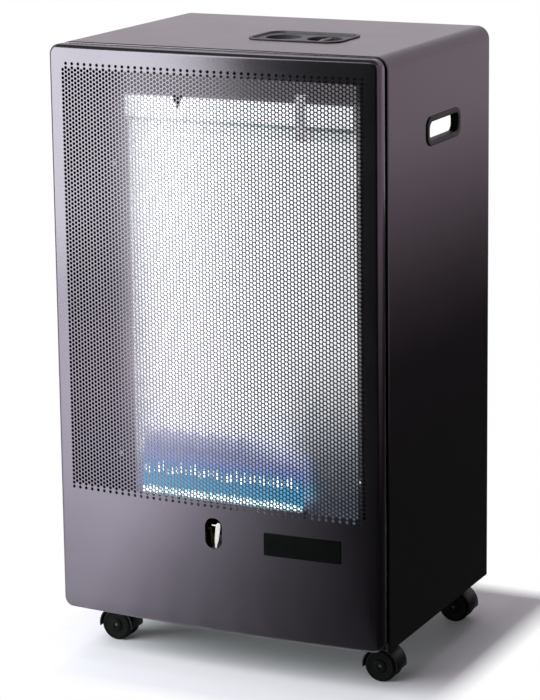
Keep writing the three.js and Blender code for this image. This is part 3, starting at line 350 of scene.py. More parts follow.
def lit_reflector():
    """Polished reflector with the flames' light painted into its glow: bright, bluer low down, dim
    by its ends, with a painted shadow under the cap.
    """
    finish = rolled_steel("lit_reflector_steel", (tint(0.62, 0.63, 0.66), tint(0.82, 0.82, 0.84)),
                          0.3, rise=0.04, Emission_Strength=0.79)
    x = finish.axis("X")
    z = finish.axis("Z")
    white_high = finish.level(z, 190 * MM, 330 * MM)
    glow = finish.mixed(white_high, tint(0.42, 0.56, 0.95), tint(0.95, 0.92, 0.95))
    lit_left = finish.level(x, -152 * MM, -100 * MM, 0.3, 1.0)
    low_down = finish.level(z, 400 * MM, 270 * MM)
    dim_right = finish.level(x, 50 * MM, 90 * MM, 0.0, 0.90) * low_down
    # Painted shadow under the cap's ledge: a dark line across the sheet and a greyer band below it.
    cap_shadow_stops = [(0.25, 1.0), (0.33, 0.62), (0.67, 0.6), (0.70, 0.0), (0.87, 0.0), (0.90, 1.0)]
    cap_shadow = finish.ramp(finish.level(z, 640 * MM, 670 * MM),
                        [(at, grey(shade)) for at, shade in cap_shadow_stops])
    lit = lit_left * (1 - dim_right) * cap_shadow
    finish.shade("Emission Color", finish.mixed(lit, tint(0.01, 0.01, 0.012), glow))
    return finish


def firebox_black():
    """Black enamel of the firebox, grey where the reflector's light falls on it."""
    finish = powder_paint("firebox_black_enamel", "black_paint", BLACK_ENAMEL, 0.5,
                          Emission_Strength=0.9)
    # Painted light: the reflector's light on the enamel, weaker under the top and low down, is
    # painted into its emission.
    near = finish.level(abs(finish.axis("X")), 172 * MM, 149 * MM)
    z = finish.axis("Z")
    overhead = finish.level(z, 682 * MM, 698 * MM, 0.45, 0.17)
    low = finish.level(z, 220 * MM, 360 * MM, 0.1, 1.0)
    lit = near ** 3 * overhead * low
    finish.shade("Emission Color", finish.mixed(lit, grey(0), tint(0.95, 0.90, 1.0)))
    return finish


def zinc_plate(name, glow):
    """Galvanised sheet: dull, with a large spangle and this much of the fire's light."""
    finish = Finish(name, "galvanised", Metallic=0.9, Emission_Strength=glow)
    spangle = finish.node("TexVoronoi", {}, {"Vector": finish.place(), "Scale": 120.0}, output=1)
    patch = finish.node("SeparateXYZ", {}, {"Vector": spangle})
    finish.shade("Base Color", finish.mixed(patch, tint(0.23, 0.22, 0.25), tint(0.36, 0.35, 0.38)))
    finish.shade("Roughness", patch * 0.15 + 0.42)
    # Painted light: the fire's light is painted into the emission, as strong as the glow given.
    fire = finish.mixed(patch, tint(0.80, 0.77, 0.85), tint(1.0, 0.98, 1.0))
    finish.shade("Emission Color", fire)
    finish.bump(finish.speckle(2 * MM), 0.01 * MM)
    return finish


def drawn_metal(name, slot, shades, roughness):
    """Brass or copper, a little tarnished."""
    finish = Finish(name, slot, Metallic=1.0)
    tarnish = finish.speckle(9 * MM, detail=4.0)
    finish.shade("Base Color", finish.mixed(tarnish, *shades))
    finish.shade("Roughness", tarnish * 0.2 + roughness)
    finish.bump(finish.speckle(0.7 * MM), 0.008 * MM)
    return finish


def fired_ceramic():
    """Glazed insulator, with a painted glow for a little of the flames' light in it."""
    finish = Finish("fired_ceramic", "ceramic", Emission_Strength=0.75)
    cloud = finish.speckle(5 * MM)
    finish.shade("Base Color", finish.mixed(cloud, tint(0.78, 0.76, 0.72), tint(0.9, 0.89, 0.86)))
    finish.shade("Roughness", cloud * 0.15 + 0.25)
    # Painted light: this glow shows wherever the finish is used, on the knob's mark as well.
    fire = finish.mixed(cloud, tint(0.9, 0.88, 0.84), tint(1.0, 0.99, 0.97))
    finish.shade("Emission Color", fire)
    finish.bump(finish.speckle(0.8 * MM), 0.006 * MM)
    return finish


def wheel_tread():
    """Hard black wheel, scuffed in patches."""
    finish = Finish("wheel_rubber", "wheel_rubber", Specular_IOR_Level=0.08)
    scuff = finish.speckle(3 * MM, detail=5.0)
    finish.shade("Base Color", finish.mixed(scuff, grey(0.0015), grey(0.004)))
    finish.shade("Roughness", scuff * 0.25 + 0.5)
    finish.bump(scuff, 0.03 * MM)
    return finish


BLACK_ENAMEL = (tint(0.008, 0.007, 0.008), tint(0.013, 0.012, 0.013))

paint = powder_paint("charcoal_powder_paint", "charcoal_paint",
                     (tint(0.080, 0.067, 0.079), tint(0.102, 0.086, 0.101)), 0.12)
inner_paint = powder_paint("black_powder_paint", "black_paint", BLACK_ENAMEL, 0.5)
plastic = moulded_plastic("black_moulded_plastic", (grey(0.003), grey(0.006)), 0.40, 0.012 * MM)
insert_plastic = moulded_plastic("charcoal_moulded_plastic",
                                 (tint(0.035, 0.031, 0.036), tint(0.050, 0.044, 0.050)),
                                 0.34, 0.010 * MM)
gloss = gloss_plate()
black_steel = rolled_steel("blackened_steel", (grey(0.04), grey(0.08)), 0.35)
bright = rolled_steel("bright_steel", (tint(0.60, 0.60, 0.62), tint(0.78, 0.78, 0.80)), 0.22)
reflector = lit_reflector()
firebox = firebox_black()
zinc = zinc_plate("galvanised_sheet", 0.0)
lit_zinc = zinc_plate("galvanised_sheet_in_firelight", 0.45)
brass = drawn_metal("turned_brass", "brass", (tint(0.42, 0.29, 0.11), tint(0.62, 0.46, 0.19)), 0.22)
sooted_brass = drawn_metal("sooted_brass", "brass",
                           (tint(0.030, 0.020, 0.012), tint(0.060, 0.042, 0.022)), 0.4)
copper = drawn_metal("drawn_copper", "copper",
                     (tint(0.36, 0.15, 0.08), tint(0.60, 0.28, 0.16)), 0.25)
ceramic = fired_ceramic()
rubber = wheel_tread()


# ---------------------------------------------------------------- making pieces


def stand(name, data):
    """A new thing in the scene."""
    thing = bpy.data.objects.new(name, data)
    bpy.context.scene.collection.objects.link(thing)
    return thing


def mesh_of(name, points, faces):
    mesh = bpy.data.meshes.new(name)
    mesh.from_pydata(points, [], faces)
    return mesh


def settle(mesh, sharp=32.0):
    """Joins equal points, turns the faces out and keeps only the sharp edges sharp."""
    shape = bmesh.new()
    shape.from_mesh(mesh)
    bmesh.ops.remove_doubles(shape, verts=shape.verts, dist=WELD)
    bmesh.ops.recalc_face_normals(shape, faces=shape.faces)
    for face in shape.faces:
        face.smooth = True
    limit = math.radians(sharp)
    for edge in shape.edges:
        edge.smooth = len(edge.link_faces) == 2 and edge.calc_face_angle(0.0) < limit
    shape.to_mesh(mesh)
    shape.free()
    return mesh


def skin(*shapes, sharp=32.0):
    """One mesh from shapes, each of them its points and its faces."""
    points = []
    faces = []
    for some_points, some_faces in shapes:
        start = len(points)
        points += [tuple(point) for point in some_points]
        faces += [tuple(start + i for i in face) for face in some_faces]
    return settle(mesh_of("skin", points, faces), sharp)


def piece(name, mesh, finish, body, *replaced):
    """A finished mesh on its body, and the frame's nodes that it stands for."""
    thing = stand(name, mesh)
    mesh.materials.clear()
    mesh.materials.append(finish.material)
    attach(thing, body)
    if replaced:
        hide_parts(*replaced)


def loft(rings, ends="capped"):
    """The skin over a row of rings of as many points each, its ends capped, open or joined."""
    count = len(rings[0])
    points = [point for ring in rings for point in ring]
    faces = []
    for row in range(len(rings) if ends == "joined" else len(rings) - 1):
        here = row * count
        there = (row + 1) % len(rings) * count
        for i in range(count):
            j = (i + 1) % count
            faces.append((here + i, here + j, there + j, there + i))
    if ends == "capped":
        faces.append(tuple(reversed(range(count))))
        faces.append(tuple(range(len(points) - count, len(points))))
    return points, faces


def sheet_over(grid):
    """The open skin over rows of points."""
    across = len(grid[0])
    faces = [(a, a + 1, a + across + 1, a + across)
             for row in range(len(grid) - 1)
             for a in range(row * across, (row + 1) * across - 1)]
    return [point for row in grid for point in row], faces


def arc(centre, radius, start, end, steps):
    """Points of an arc in a plane, angles in degrees."""
    angles = [math.radians(start + (end - start) * i / steps) for i in range(steps + 1)]
    return [(centre[0] + radius * math.cos(a), centre[1] + radius * math.sin(a)) for a in angles]


def circle(radius, steps):
    return arc((0, 0), radius, 0, 360, steps)[:-1]


def rounded_outline(width, height, radius, steps):
    """Corner-rounded rectangle about the origin, anticlockwise."""
    least = 1e-6
    radius = max(min(radius, width / 2 - least, height / 2 - least), least)
    points = []
    for quarter, (side, rise) in enumerate(((1, -1), (1, 1), (-1, 1), (-1, -1))):
        corner = (side * (width / 2 - radius), rise * (height / 2 - radius))
        points += arc(corner, radius, 90 * (quarter - 1), 90 * quarter, steps)
    return points


def stacked(section, plan, lay, steps=8, tighten=1.0):
    """Rings of a rounded plan, width, height and corner, drawn in by each inset at its level."""
    width, height, corner = plan
    rings = []
    for inset, level in section:
        outline = rounded_outline(width - 2 * inset, height - 2 * inset,
                                  corner - tighten * inset, steps)
        rings.append([lay(u, v, level) for u, v in outline])
    return rings


def turned(profile, lay, steps, ends="capped"):
    """A profile, as pairs of radius and level, turned round its axis."""
    return loft([[lay(u, v, level) for u, v in circle(radius, steps)]
                 for radius, level in profile], ends)


def upright_at(centre):
    """Lays plans level, round an upright axis through this point."""
    return lambda u, v, level: (centre.x + u, centre.y + v, level)


def cut_away(mesh, *cutters):
    """The mesh with other meshes taken out of it."""
    thing = stand("blank", mesh)
    tools = [stand("cutter", cutter) for cutter in cutters]
    for tool in tools:
        modifier = thing.modifiers.new("cut", "BOOLEAN")
        modifier.operation = "DIFFERENCE"
        modifier.solver = "EXACT"
        modifier.object = tool
    bpy.context.view_layer.update()
    depsgraph = bpy.context.evaluated_depsgraph_get()
    result = bpy.data.meshes.new_from_object(thing.evaluated_get(depsgraph))
    for old in [thing, *tools]:
        bpy.data.objects.remove(old)
    return settle(result)


def refined(node, finish, rounding, sharp=32.0):
    """A node's own shape with its flat faces merged, its edges eased and its curves smooth."""
    shape = bmesh.new()
    shape.from_mesh(frame["nodes"][node].data)
    bmesh.ops.remove_doubles(shape, verts=shape.verts, dist=WELD)
    bmesh.ops.dissolve_limit(shape, angle_limit=math.radians(0.5), verts=shape.verts,
                             edges=shape.edges)
    if rounding:
        limit = math.radians(40)
        edges = [e for e in shape.edges
                 if len(e.link_faces) == 2 and e.calc_face_angle(0.0) > limit]
        bmesh.ops.bevel(shape, geom=edges, offset=rounding, segments=2, affect="EDGES",
                        profile=0.7, clamp_overlap=True)
    mesh = bpy.data.meshes.new(node)
    shape.to_mesh(mesh)
    shape.free()
    body = frame["nodes"][node]["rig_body"]
    piece(node + "_finish", settle(mesh, sharp), finish, body, node)


# ---------------------------------------------------------------- front panel


def bow_y(x):
    """The panel's front face at this distance from the middle."""
    return CROWN_Y + BOW_RADIUS - math.sqrt(BOW_RADIUS**2 - x * x)


def column_span(column):
    """Lowest and highest hole centre of a column of the perforation."""
    top = TOP_HOLE - (0 if column % 2 else SHORT_COLUMN_DROP)
    return top - (HOLE_ROWS - 1) * HOLE_PITCH, top


FIELD_HALF_WIDTH = HOLE_COLUMNS * COLUMN_PITCH / 2
FIELD_TOP = TOP_HOLE + HALF_PITCH
FIELD_BOTTOM = column_span(0)[0] - HALF_PITCH


def perforated_band(low, high):
    """The perforated sheet between two heights: cells with a hole each, and plain half cells."""
    points = []
    faces = []

    def add(x, z, depth=0.0):
        points.append((x, bow_y(x) + depth, z))
        return len(points) - 1

    def strip(x0, x1, z0, z1):
        """Plain stretch of a column, with points where its neighbours have theirs."""
        for i in range(round((z1 - z0) / HALF_PITCH)):
            foot = z0 + i * HALF_PITCH
            head = foot + HALF_PITCH
            corners = (x0, foot), (x1, foot), (x1, head), (x0, head)
            faces.append(tuple(add(x, z) for x, z in corners))

    hole = circle(HOLE_RADIUS, HOLE_SIDES)
    for column in range(HOLE_COLUMNS):
        x = (column - (HOLE_COLUMNS - 1) / 2) * COLUMN_PITCH
        x0 = x - COLUMN_PITCH / 2
        x1 = x + COLUMN_PITCH / 2
        bottom, top = column_span(column)
        if low <= FIELD_BOTTOM + TOUCH:
            strip(x0, x1, FIELD_BOTTOM, bottom - HALF_PITCH)
        if high >= FIELD_TOP - TOUCH:
            strip(x0, x1, top + HALF_PITCH, FIELD_TOP)
        for row in range(HOLE_ROWS):
            z = bottom + row * HOLE_PITCH
            if not low <= z < high:
                continue
            z0 = z - HALF_PITCH
            z1 = z + HALF_PITCH
            corners = (x1, z), (x1, z1), (x0, z1), (x0, z), (x0, z0), (x1, z0)
            outer = [add(u, v) for u, v in corners]
            ring = [add(x + u, z + v) for u, v in hole]
            back = [add(x + u, z + v, HOLE_DEPTH) for u, v in hole]
            for i, (first, last) in enumerate(zip(HOLE_JOINS, HOLE_JOINS[1:])):
                near = [ring[k % HOLE_SIDES] for k in range(first, last + 1)]
                faces.append((outer[i], outer[(i + 1) % len(outer)], *reversed(near)))
            for k in range(HOLE_SIDES):
                n = (k + 1) % HOLE_SIDES
                faces.append((ring[k], ring[n], back[n], back[k]))
    return points, faces


def panel_outline():
    """Outline of the panel's flat part, with points that follow the bow."""
    flat = rounded_outline(2 * (HALF_WIDTH - PANEL_EDGE), 2 * (PANEL_HALF_HEIGHT - PANEL_EDGE),
                           PANEL_CORNER - PANEL_EDGE, 6)
    outline = []
    for (u, v), (nu, nv) in zip(flat, flat[1:] + flat[:1]):
        steps = max(1, round(math.hypot(nu - u, nv - v) / (10 * MM)))
        outline += [(u + (nu - u) * k / steps, PANEL_MIDDLE + v + (nv - v) * k / steps)
                    for k in range(steps)]
    return outline


def field_outline():
    """Outline of the perforation, with the points of the cells along it."""
    columns = [-FIELD_HALF_WIDTH + i * COLUMN_PITCH for i in range(HOLE_COLUMNS + 1)]
    rows = round((FIELD_TOP - FIELD_BOTTOM) / HALF_PITCH)
    levels = [FIELD_BOTTOM + i * HALF_PITCH for i in range(rows + 1)]
    outline = [(x, FIELD_BOTTOM) for x in columns]
    outline += [(FIELD_HALF_WIDTH, z) for z in levels[1:]]
    outline += [(x, FIELD_TOP) for x in reversed(columns[:-1])]
    return outline + [(-FIELD_HALF_WIDTH, z) for z in reversed(levels[1:-1])]


def plain_sheet(outline, slot):
    """The flat part round the perforation and the pilot slot."""
    points = []
    edges = []
    for loop in (outline, field_outline(), slot):
        start = len(points)
        points += [Vector(point) for point in loop]
        edges += [(start + i, start + (i + 1) % len(loop)) for i in range(len(loop))]
    spacing = 12 * MM
    slot_gap = 4 * MM
    for i in range(-16, 17):
        for k in range(1, 12):
            x = i * spacing
            z = panel_low.z + PANEL_EDGE + k * spacing
            by_slot = (abs(x) < SLOT_WIDTH / 2 + slot_gap
                       and abs(z - SLOT_CENTRE) < SLOT_HEIGHT / 2 + slot_gap)
            if z < FIELD_BOTTOM - 3 * MM and not by_slot:
                points.append(Vector((x, z)))
    found, _, triangles, *_ = delaunay_2d_cdt(points, edges, [], 0, 1e-7)
    faces = []
    for triangle in triangles:
        x = sum(found[i].x for i in triangle) / 3
        z = sum(found[i].y for i in triangle) / 3
        in_field = abs(x) < FIELD_HALF_WIDTH and FIELD_BOTTOM < z < FIELD_TOP
        rise = max(abs(z - SLOT_CENTRE) - (SLOT_HEIGHT - SLOT_WIDTH) / 2, 0)
        if not in_field and math.hypot(x, rise) >= SLOT_WIDTH / 2:
            faces.append(tuple(triangle))
    return [(p.x, bow_y(p.x), p.y) for p in found], faces


def rolled_edge(outline):
    """The edge rolled back from the flat part, the flange and the lip behind."""
    corner_u = HALF_WIDTH - PANEL_CORNER
    corner_v = PANEL_HALF_HEIGHT - PANEL_CORNER
    ways_out = []
    for u, z in outline:
        v = z - PANEL_MIDDLE
        out = Vector((u - min(max(u, -corner_u), corner_u), v - min(max(v, -corner_v), corner_v)))
        ways_out.append(out.normalized())
    rings = []
    for turn in (math.pi / 2 * step / 6 for step in range(7)):
        reach = PANEL_EDGE * math.sin(turn)
        fall = PANEL_EDGE * (1 - math.cos(turn))
        rings.append([(u + out.x * reach, bow_y(u) + fall, z + out.y * reach)
                      for (u, z), out in zip(outline, ways_out)])
    rim = rings[-1]

    def drawn_in(inset):
        """The rim drawn in towards the panel's middle, square to each side."""
        across = (HALF_WIDTH - inset) / HALF_WIDTH
        upright = (PANEL_HALF_HEIGHT - inset) / PANEL_HALF_HEIGHT
        return [(x * across, PANEL_MIDDLE + (z - PANEL_MIDDLE) * upright) for x, _, z in rim]

    back = panel_high.y
    ease = 0.6 * MM
    for inset, y in ((0, back - 2 * ease), (ease, back), (PANEL_LIP, back),
                     (PANEL_LIP, back - SHEET), (SHEET, back - SHEET)):
        rings.append([(x, y, z) for x, z in drawn_in(inset)])
    rings.append([(x, bow_y(x) + PANEL_EDGE, z) for x, z in drawn_in(SHEET)])
    return loft(rings, "open")


def make_front_panel():
    """The plain sheet with its edge and its slot, and the perforation in bands."""
    outline = panel_outline()
    slot = [(u, v + SLOT_CENTRE) for u, v in
            rounded_outline(SLOT_WIDTH, SLOT_HEIGHT, SLOT_WIDTH / 2, 12)]
    slot_wall = loft([[(x, bow_y(x) + depth, z) for x, z in slot]
                      for depth in (0, 0.5 * SHEET, SHEET)], "open")
    border = skin(plain_sheet(outline, slot), rolled_edge(outline), slot_wall)
    piece("front_panel_border", border, paint, "cabinet", "front_panel")
    height = (FIELD_TOP - FIELD_BOTTOM) / MESH_BANDS
    for band in range(MESH_BANDS):
        low = FIELD_BOTTOM + band * height
        mesh = skin(perforated_band(low, low + height), sharp=25.0)
        piece(f"front_panel_mesh_{band + 1}", mesh, paint, "cabinet", "front_panel")


def make_badge():
    """Bare lacquered plate, bowed with the panel, with eased edges."""
    middle = middle_of("badge_plate")
    front_gap = 0.3 * MM
    ease = 0.35 * MM
    slight = 0.3 * ease
    columns = 12

    def lay(u, v, level):
        x = middle.x + u
        return (x, bow_y(x) - front_gap - level, middle.z + v)

    section = [(0, 0), (0, BADGE_THICKNESS - ease), (slight, BADGE_THICKNESS - slight),
               (ease, BADGE_THICKNESS)]
    width, height, _ = BADGE
    half = width / 2 - ease
    high = height / 2 - ease
    face = [[lay(2 * half * i / columns - half, v, BADGE_THICKNESS) for i in range(columns + 1)]
            for v in (-high, high)]
    mesh = skin(loft(stacked(section, BADGE, lay, 4), "open"), sheet_over(face))
    piece("badge_plate_face", mesh, gloss, "cabinet", "badge_plate")


# ---------------------------------------------------------------- cabinet


def arch_path():
    """Stations up one side, over the top and down: x, z and the way inwards."""
    high = shell_high.z
    stations = [(HALF_WIDTH, shell_low.z, -1, 0),
                (HALF_WIDTH, high - SHELL_BEND - BEND_SUPPORT, -1, 0)]
    for c, s in arc((0, 0), 1, 0, 90, 12):
        stations.append((HALF_WIDTH - SHELL_BEND * (1 - c), high - SHELL_BEND * (1 - s), -c, -s))
    stations.append((HALF_WIDTH - SHELL_BEND - BEND_SUPPORT, high, 0, -1))
    return stations + [(-x, z, -nx, nz) for x, z, nx, nz in reversed(stations)]


def shell_section():
    """Inset and depth round the folded sheet: front lip, outside, rear lip, inside."""
    front = shell_low.y
    rear = shell_high.y
    r = SHELL_EDGE
    support = r + BEND_SUPPORT
    return [
        (FRONT_LIP, front), (support, front), *arc((r, front + r), r, 270, 180, 6),
        (0, front + support), (0, rear - support), *arc((r, rear - r), r, 180, 90, 6),
        (support, rear), (REAR_LIP, rear), (REAR_LIP, rear - SHEET), (SHEET, rear - SHEET),
        (SHEET, front + SHEET), (FRONT_LIP, front + SHEET),
    ]


def make_shell():
    """The folded wrap with the holes for the grips and the controls, and its turned-in feet."""
    section = shell_section()
    rings = [[(x + nx * inset, y, z + nz * inset) for inset, y in section]
             for x, z, nx, nz in arch_path()]
    clear = 10 * MM
    reach = HALF_WIDTH + clear
    grip = middle_of("handle_trim_right")
    grips = stacked([(GRIP_CUT, -reach), (GRIP_CUT, reach)], GRIP,
                    lambda u, v, x: (x, grip.y + u, grip.z + v), 10, GRIP_TIGHTEN)
    top = shell_high.z
    opening = stacked([(BEZEL_CUT, top - clear), (BEZEL_CUT, top + clear)], BEZEL,
                      upright_at(middle_of("control_bezel")), 10)
    mesh = cut_away(skin(loft(rings)), skin(loft(grips)), skin(loft(opening)))
    piece("cabinet_shell_wrap", mesh, paint, "cabinet", "cabinet_shell")

    width = BOTTOM_LIP - SHEET
    ends = [(0, shell_low.y + SHEET), (0, shell_high.y - SHEET)]
    feet = []
    for side in (1, -1):
        x = side * (HALF_WIDTH - SHEET - width / 2)
        z = shell_low.z + SHEET / 2
        rings = stacked(ends, (width, SHEET, 0.3 * MM),
                        lambda u, v, y, x=x, z=z: (x + u, y, z + v), 3)
        feet.append(loft(rings))
    piece("cabinet_shell_feet", skin(*feet), paint, "cabinet", "cabinet_shell")


def make_handle_trims():
    """Black frames snapped into the grip holes: rounded face, deep neck."""
    border = 6.5 * MM
    neck = GRIP_CUT + NECK_GAP
    low = 0.3 * MM
    lift = 0.3 * MM
    face = low + 1.5 * MM
    outer = 1.3 * MM
    inner = 1.6 * MM
    depth = 9 * MM
    section = [(neck, low), (0.2 * MM, low), (0, low + lift)]
    section += [(outer - u, min(low + v, face)) for u, v in arc((0, lift), outer, 0, 90, 5)[1:]]
    section += [(border - inner, face)]
    section += arc((border - inner, face - inner), inner, 75, 0, 5)
    section += [(border, -depth), (neck, -depth)]
    for side, name in ((1, "right"), (-1, "left")):
        node = "handle_trim_" + name
        middle = middle_of(node)

        def lay(u, v, level, side=side, middle=middle):
            return (side * (HALF_WIDTH + level), middle.y + u, middle.z + v)

        mesh = skin(loft(stacked(section, GRIP, lay, 8, GRIP_TIGHTEN), "joined"))
        piece(node + "_frame", mesh, plastic, "cabinet", node)


def cover_surface(x, z, inset):
    """Height of the rear cover's outside over the body's rear face."""
    dx = COVER_HALF_WIDTH - inset - abs(x)
    dz = COVER_HALF_HEIGHT - inset - abs(z)
    rim = cover_high.y - COVER_BULGE - cover_low.y

    def ramp(distance):
        share = min(max((distance - COVER_BORDER + inset) / COVER_SLOPE, 0), 1)
        return share * share * (3 - 2 * share)

    radius = COVER_EDGE - inset
    inside = radius - min(max(min(dx, dz), 0), radius)
    fall = radius - math.sqrt(max(radius * radius - inside * inside, 0))
    return rim - inset + COVER_BULGE * ramp(dx) * ramp(dz) - fall


def cover_lines(half):
    """Grid lines across the cover: close together where it curves."""
    edge = [COVER_EDGE * (1 - math.cos(math.pi / 2 * i / 5)) for i in range(6)]
    slope = [COVER_BORDER + COVER_SLOPE * i / 12 for i in range(13)]
    support = 1 * MM
    plain = [COVER_EDGE + support, COVER_BORDER - support, COVER_BORDER + COVER_SLOPE + support]
    side = sorted(edge + slope + plain)
    return [-half + d for d in side] + [0.0] + [half - d for d in reversed(side)]


def rim_of(grid):
    """The points round the edge of rows of points."""
    right = [row[-1] for row in grid[1:]]
    left = [row[0] for row in grid[1:-1]]
    return grid[0] + right + grid[-1][-2::-1] + left[::-1]


def make_rear_cover():
    """The pressed cover: both its faces, the skirt between them and its two groups of slots."""
    middle = middle_of("rear_cover")
    base = cover_low.y
    grids = [[[(u, base + cover_surface(u, v, inset), middle.z + v)
               for u in cover_lines(COVER_HALF_WIDTH - inset)]
              for v in cover_lines(COVER_HALF_HEIGHT - inset)]
             for inset in (0, SHEET)]
    outside, inside = (rim_of(grid) for grid in grids)
    outer_foot, inner_foot = ([(x, base, z) for x, _, z in rim] for rim in (outside, inside))
    skirt = loft([outside, outer_foot, inner_foot, inside], "open")
    mesh = skin(*(sheet_over(grid) for grid in grids), skirt)
    first = COVER_HALF_HEIGHT - COVER_BORDER - COVER_SLOPE - COVER_SLOT_MARGIN
    clear = 10 * MM
    section = [(0, base + clear), (0, cover_high.y + clear)]
    slots = []
    for side in (-1, 1):
        for i in range(COVER_SLOTS):
            z = middle.z + side * (first - i * COVER_SLOT_PITCH)
            slots.append(loft(stacked(section, COVER_SLOT,
                                      lambda u, v, y, z=z: (u, y, z + v), 6)))
    mesh = cut_away(mesh, skin(*slots))
    piece("rear_cover_pressing", mesh, paint, "rear_cover", "rear_cover")


# ---------------------------------------------------------------- controls


def make_bezel():
    """Insert in the top: eased rim, shallow tray and two round wells."""
    low = bezel_low.z
    top = bezel_high.z
    under_rim = top - 1.2 * MM
    floor = top - 2.2 * MM
    well_floor = low + 1.6 * MM
    neck = BEZEL_CUT + NECK_GAP
    ease = 0.5 * MM
    slight = 0.3 * ease
    section = [(neck, low), (neck, under_rim), (0.1 * MM, under_rim), (0, under_rim + 0.2 * MM),
               (0, top - ease), (slight, top - slight), (ease, top), (3.4 * MM, top),
               (3.8 * MM, top - 0.2 * MM), (4.6 * MM, floor)]
    mesh = skin(loft(stacked(section, BEZEL, upright_at(middle_of("control_bezel")), 10)))
    wide = WELL_RADIUS + 0.6 * MM
    profile = [(WELL_RADIUS - 1 * MM, well_floor), (WELL_RADIUS, well_floor + 1 * MM),
               (WELL_RADIUS, floor - 0.6 * MM), (wide, floor), (wide + 0.2 * MM, top + 2 * MM)]
    wells = [skin(turned(profile, upright_at(middle_of(node)), 64))
             for node in ("control_knob", "igniter_button")]
    mesh = cut_away(mesh, *wells)
    piece("control_bezel_insert", mesh, insert_plastic, "cabinet", "control_bezel")


def make_knob():
    """Round knob with a raised bar across it, one end of the bar marked by a pale line."""
    lay = upright_at(middle_of("control_knob"))
    low, high = (corner.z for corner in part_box("control_knob"))
    radius = 18.5 * MM
    disc_high = high - 6 * MM
    ease = 0.8 * MM
    rim = arc((radius - ease, disc_high - ease), ease, 0, 90, 4)
    disc = turned([(radius - 0.5 * MM, low), (radius, low + 0.5 * MM), *rim,
                   (radius - 2.5 * MM, disc_high)], lay, 72)
    bar_section = [(-1.2 * MM, disc_high - 0.4 * MM), (-0.3 * MM, disc_high + 0.8 * MM),
                   (0, disc_high + 2 * MM), (0.3 * MM, high - 1 * MM),
                   (0.6 * MM, high - 0.35 * MM), (1.3 * MM, high)]
    bar = loft(stacked(bar_section, (8 * MM, 36 * MM, 4 * MM), lay))
    piece("control_knob_body", skin(disc, bar), insert_plastic, "control_knob", "control_knob")
    # The pale mark takes the ceramic finish, with its painted glow.
    mark = stacked([(0, high - 0.5 * MM), (0, high)], (1.2 * MM, 9 * MM, 0.6 * MM),
                   lambda u, v, level: lay(u, v - 10 * MM, level), 6)
    piece("control_knob_mark", skin(loft(mark)), ceramic, "control_knob")


def make_button():
    """Igniter button: a domed cap on its stem."""
    lay = upright_at(middle_of("igniter_button"))
    bottom, top = (corner.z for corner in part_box("igniter_button"))
    radius = 9 * MM
    low = top - 6 * MM
    ease = 1.4 * MM
    stem = turned([(5 * MM, bottom), (5 * MM, low + 1 * MM)], lay, 40)
    profile = [(radius - 0.4 * MM, low), (radius, low + 0.4 * MM), (radius, top - ease)]
    profile += [(radius - ease + du, top - ease + dz * 0.75)
                for du, dz in arc((0, 0), ease, 15, 90, 4)]
    cap = turned([*profile, (3 * MM, top)], lay, 56)
    piece("igniter_button_cap", skin(stem, cap), plastic, "igniter_button", "igniter_button")


# ---------------------------------------------------------------- casters


def make_caster(name):
    """One twin-wheel caster: forked hood over two dished wheels on a dark axle."""
    stem = middle_of(name + "_plate")
    heading = 1 if stem.x > 0 else -1
    hub_x = stem.x + heading * CASTER_TRAIL
    upright = upright_at(stem)

    def across(u, v, level):
        return (hub_x + u, stem.y + level, WHEEL_RADIUS + v)

    section = in_mm((3.3, 3.3), (17.6, 3.3), (19.4, 4.1), (20, 5.3), (20, 10.6), (19.7, 11.9),
                    (18.7, 13.2), (17.3, 13.9), (16.2, 14.0), (15.6, 13.4), (11.6, 12.9),
                    (8.4, 13.1), (7.6, 14.3), (6.6, 14.8), (3.3, 14.8))
    for side, tail in ((heading, "a"), (-heading, "b")):
        wheel = f"{name}_wheel_{tail}"
        tyre = turned([(radius, side * y) for radius, y in section], across, 56, "joined")
        piece(f"{name}_tyre_{tail}", skin(tyre), rubber, wheel, wheel)
    reach = WHEEL_FAR - 1 * MM
    slope = 0.7 * MM
    pin = turned([(1.9 * MM, -reach), (3 * MM, slope - reach), (3 * MM, reach - slope),
                  (1.9 * MM, reach)], across, 28)
    piece(name + "_pin", skin(pin), black_steel, name + "_fork", name + "_axle")

    edge = WHEEL_FAR
    eased = HOOD_RADIUS - HOOD_EASE
    slight = 0.3 * HOOD_EASE
    band = [(eased, -edge), (HOOD_RADIUS - slight, slight - edge), (HOOD_RADIUS, HOOD_EASE - edge),
            (HOOD_RADIUS, edge - HOOD_EASE), (HOOD_RADIUS - slight, edge - slight),
            (eased, edge), (HOOD_INSIDE, edge), (HOOD_INSIDE, -edge)]
    start = -math.degrees(math.asin(HOOD_HEM / HOOD_RADIUS))
    shell = [[across(radius * c, radius * s, level) for radius, level in band]
             for c, s in arc((0, 0), 1, start, 180 - start, 40)]
    web_outline = arc((0, 0), HOOD_INSIDE * 1.01, start, 180 - start, 40)
    web_outline += arc((0, 0), 8 * MM, 205, 335, 10)
    web = [[across(u, v, level) for u, v in web_outline] for level in (-2.5 * MM, 2.5 * MM)]
    post = turned(in_mm((9, 41), (9, 51), (8.4, 52)), upright, 40)
    stem_pin = turned(in_mm((4, 51), (4, 58.2)), upright, 24)
    mesh = skin(loft(shell), loft(web), post, stem_pin)
    piece(name + "_fork_hood", mesh, plastic, name + "_fork", name + "_hood")
    refined(name + "_plate", zinc, 0.25 * MM)


# ---------------------------------------------------------------- flames


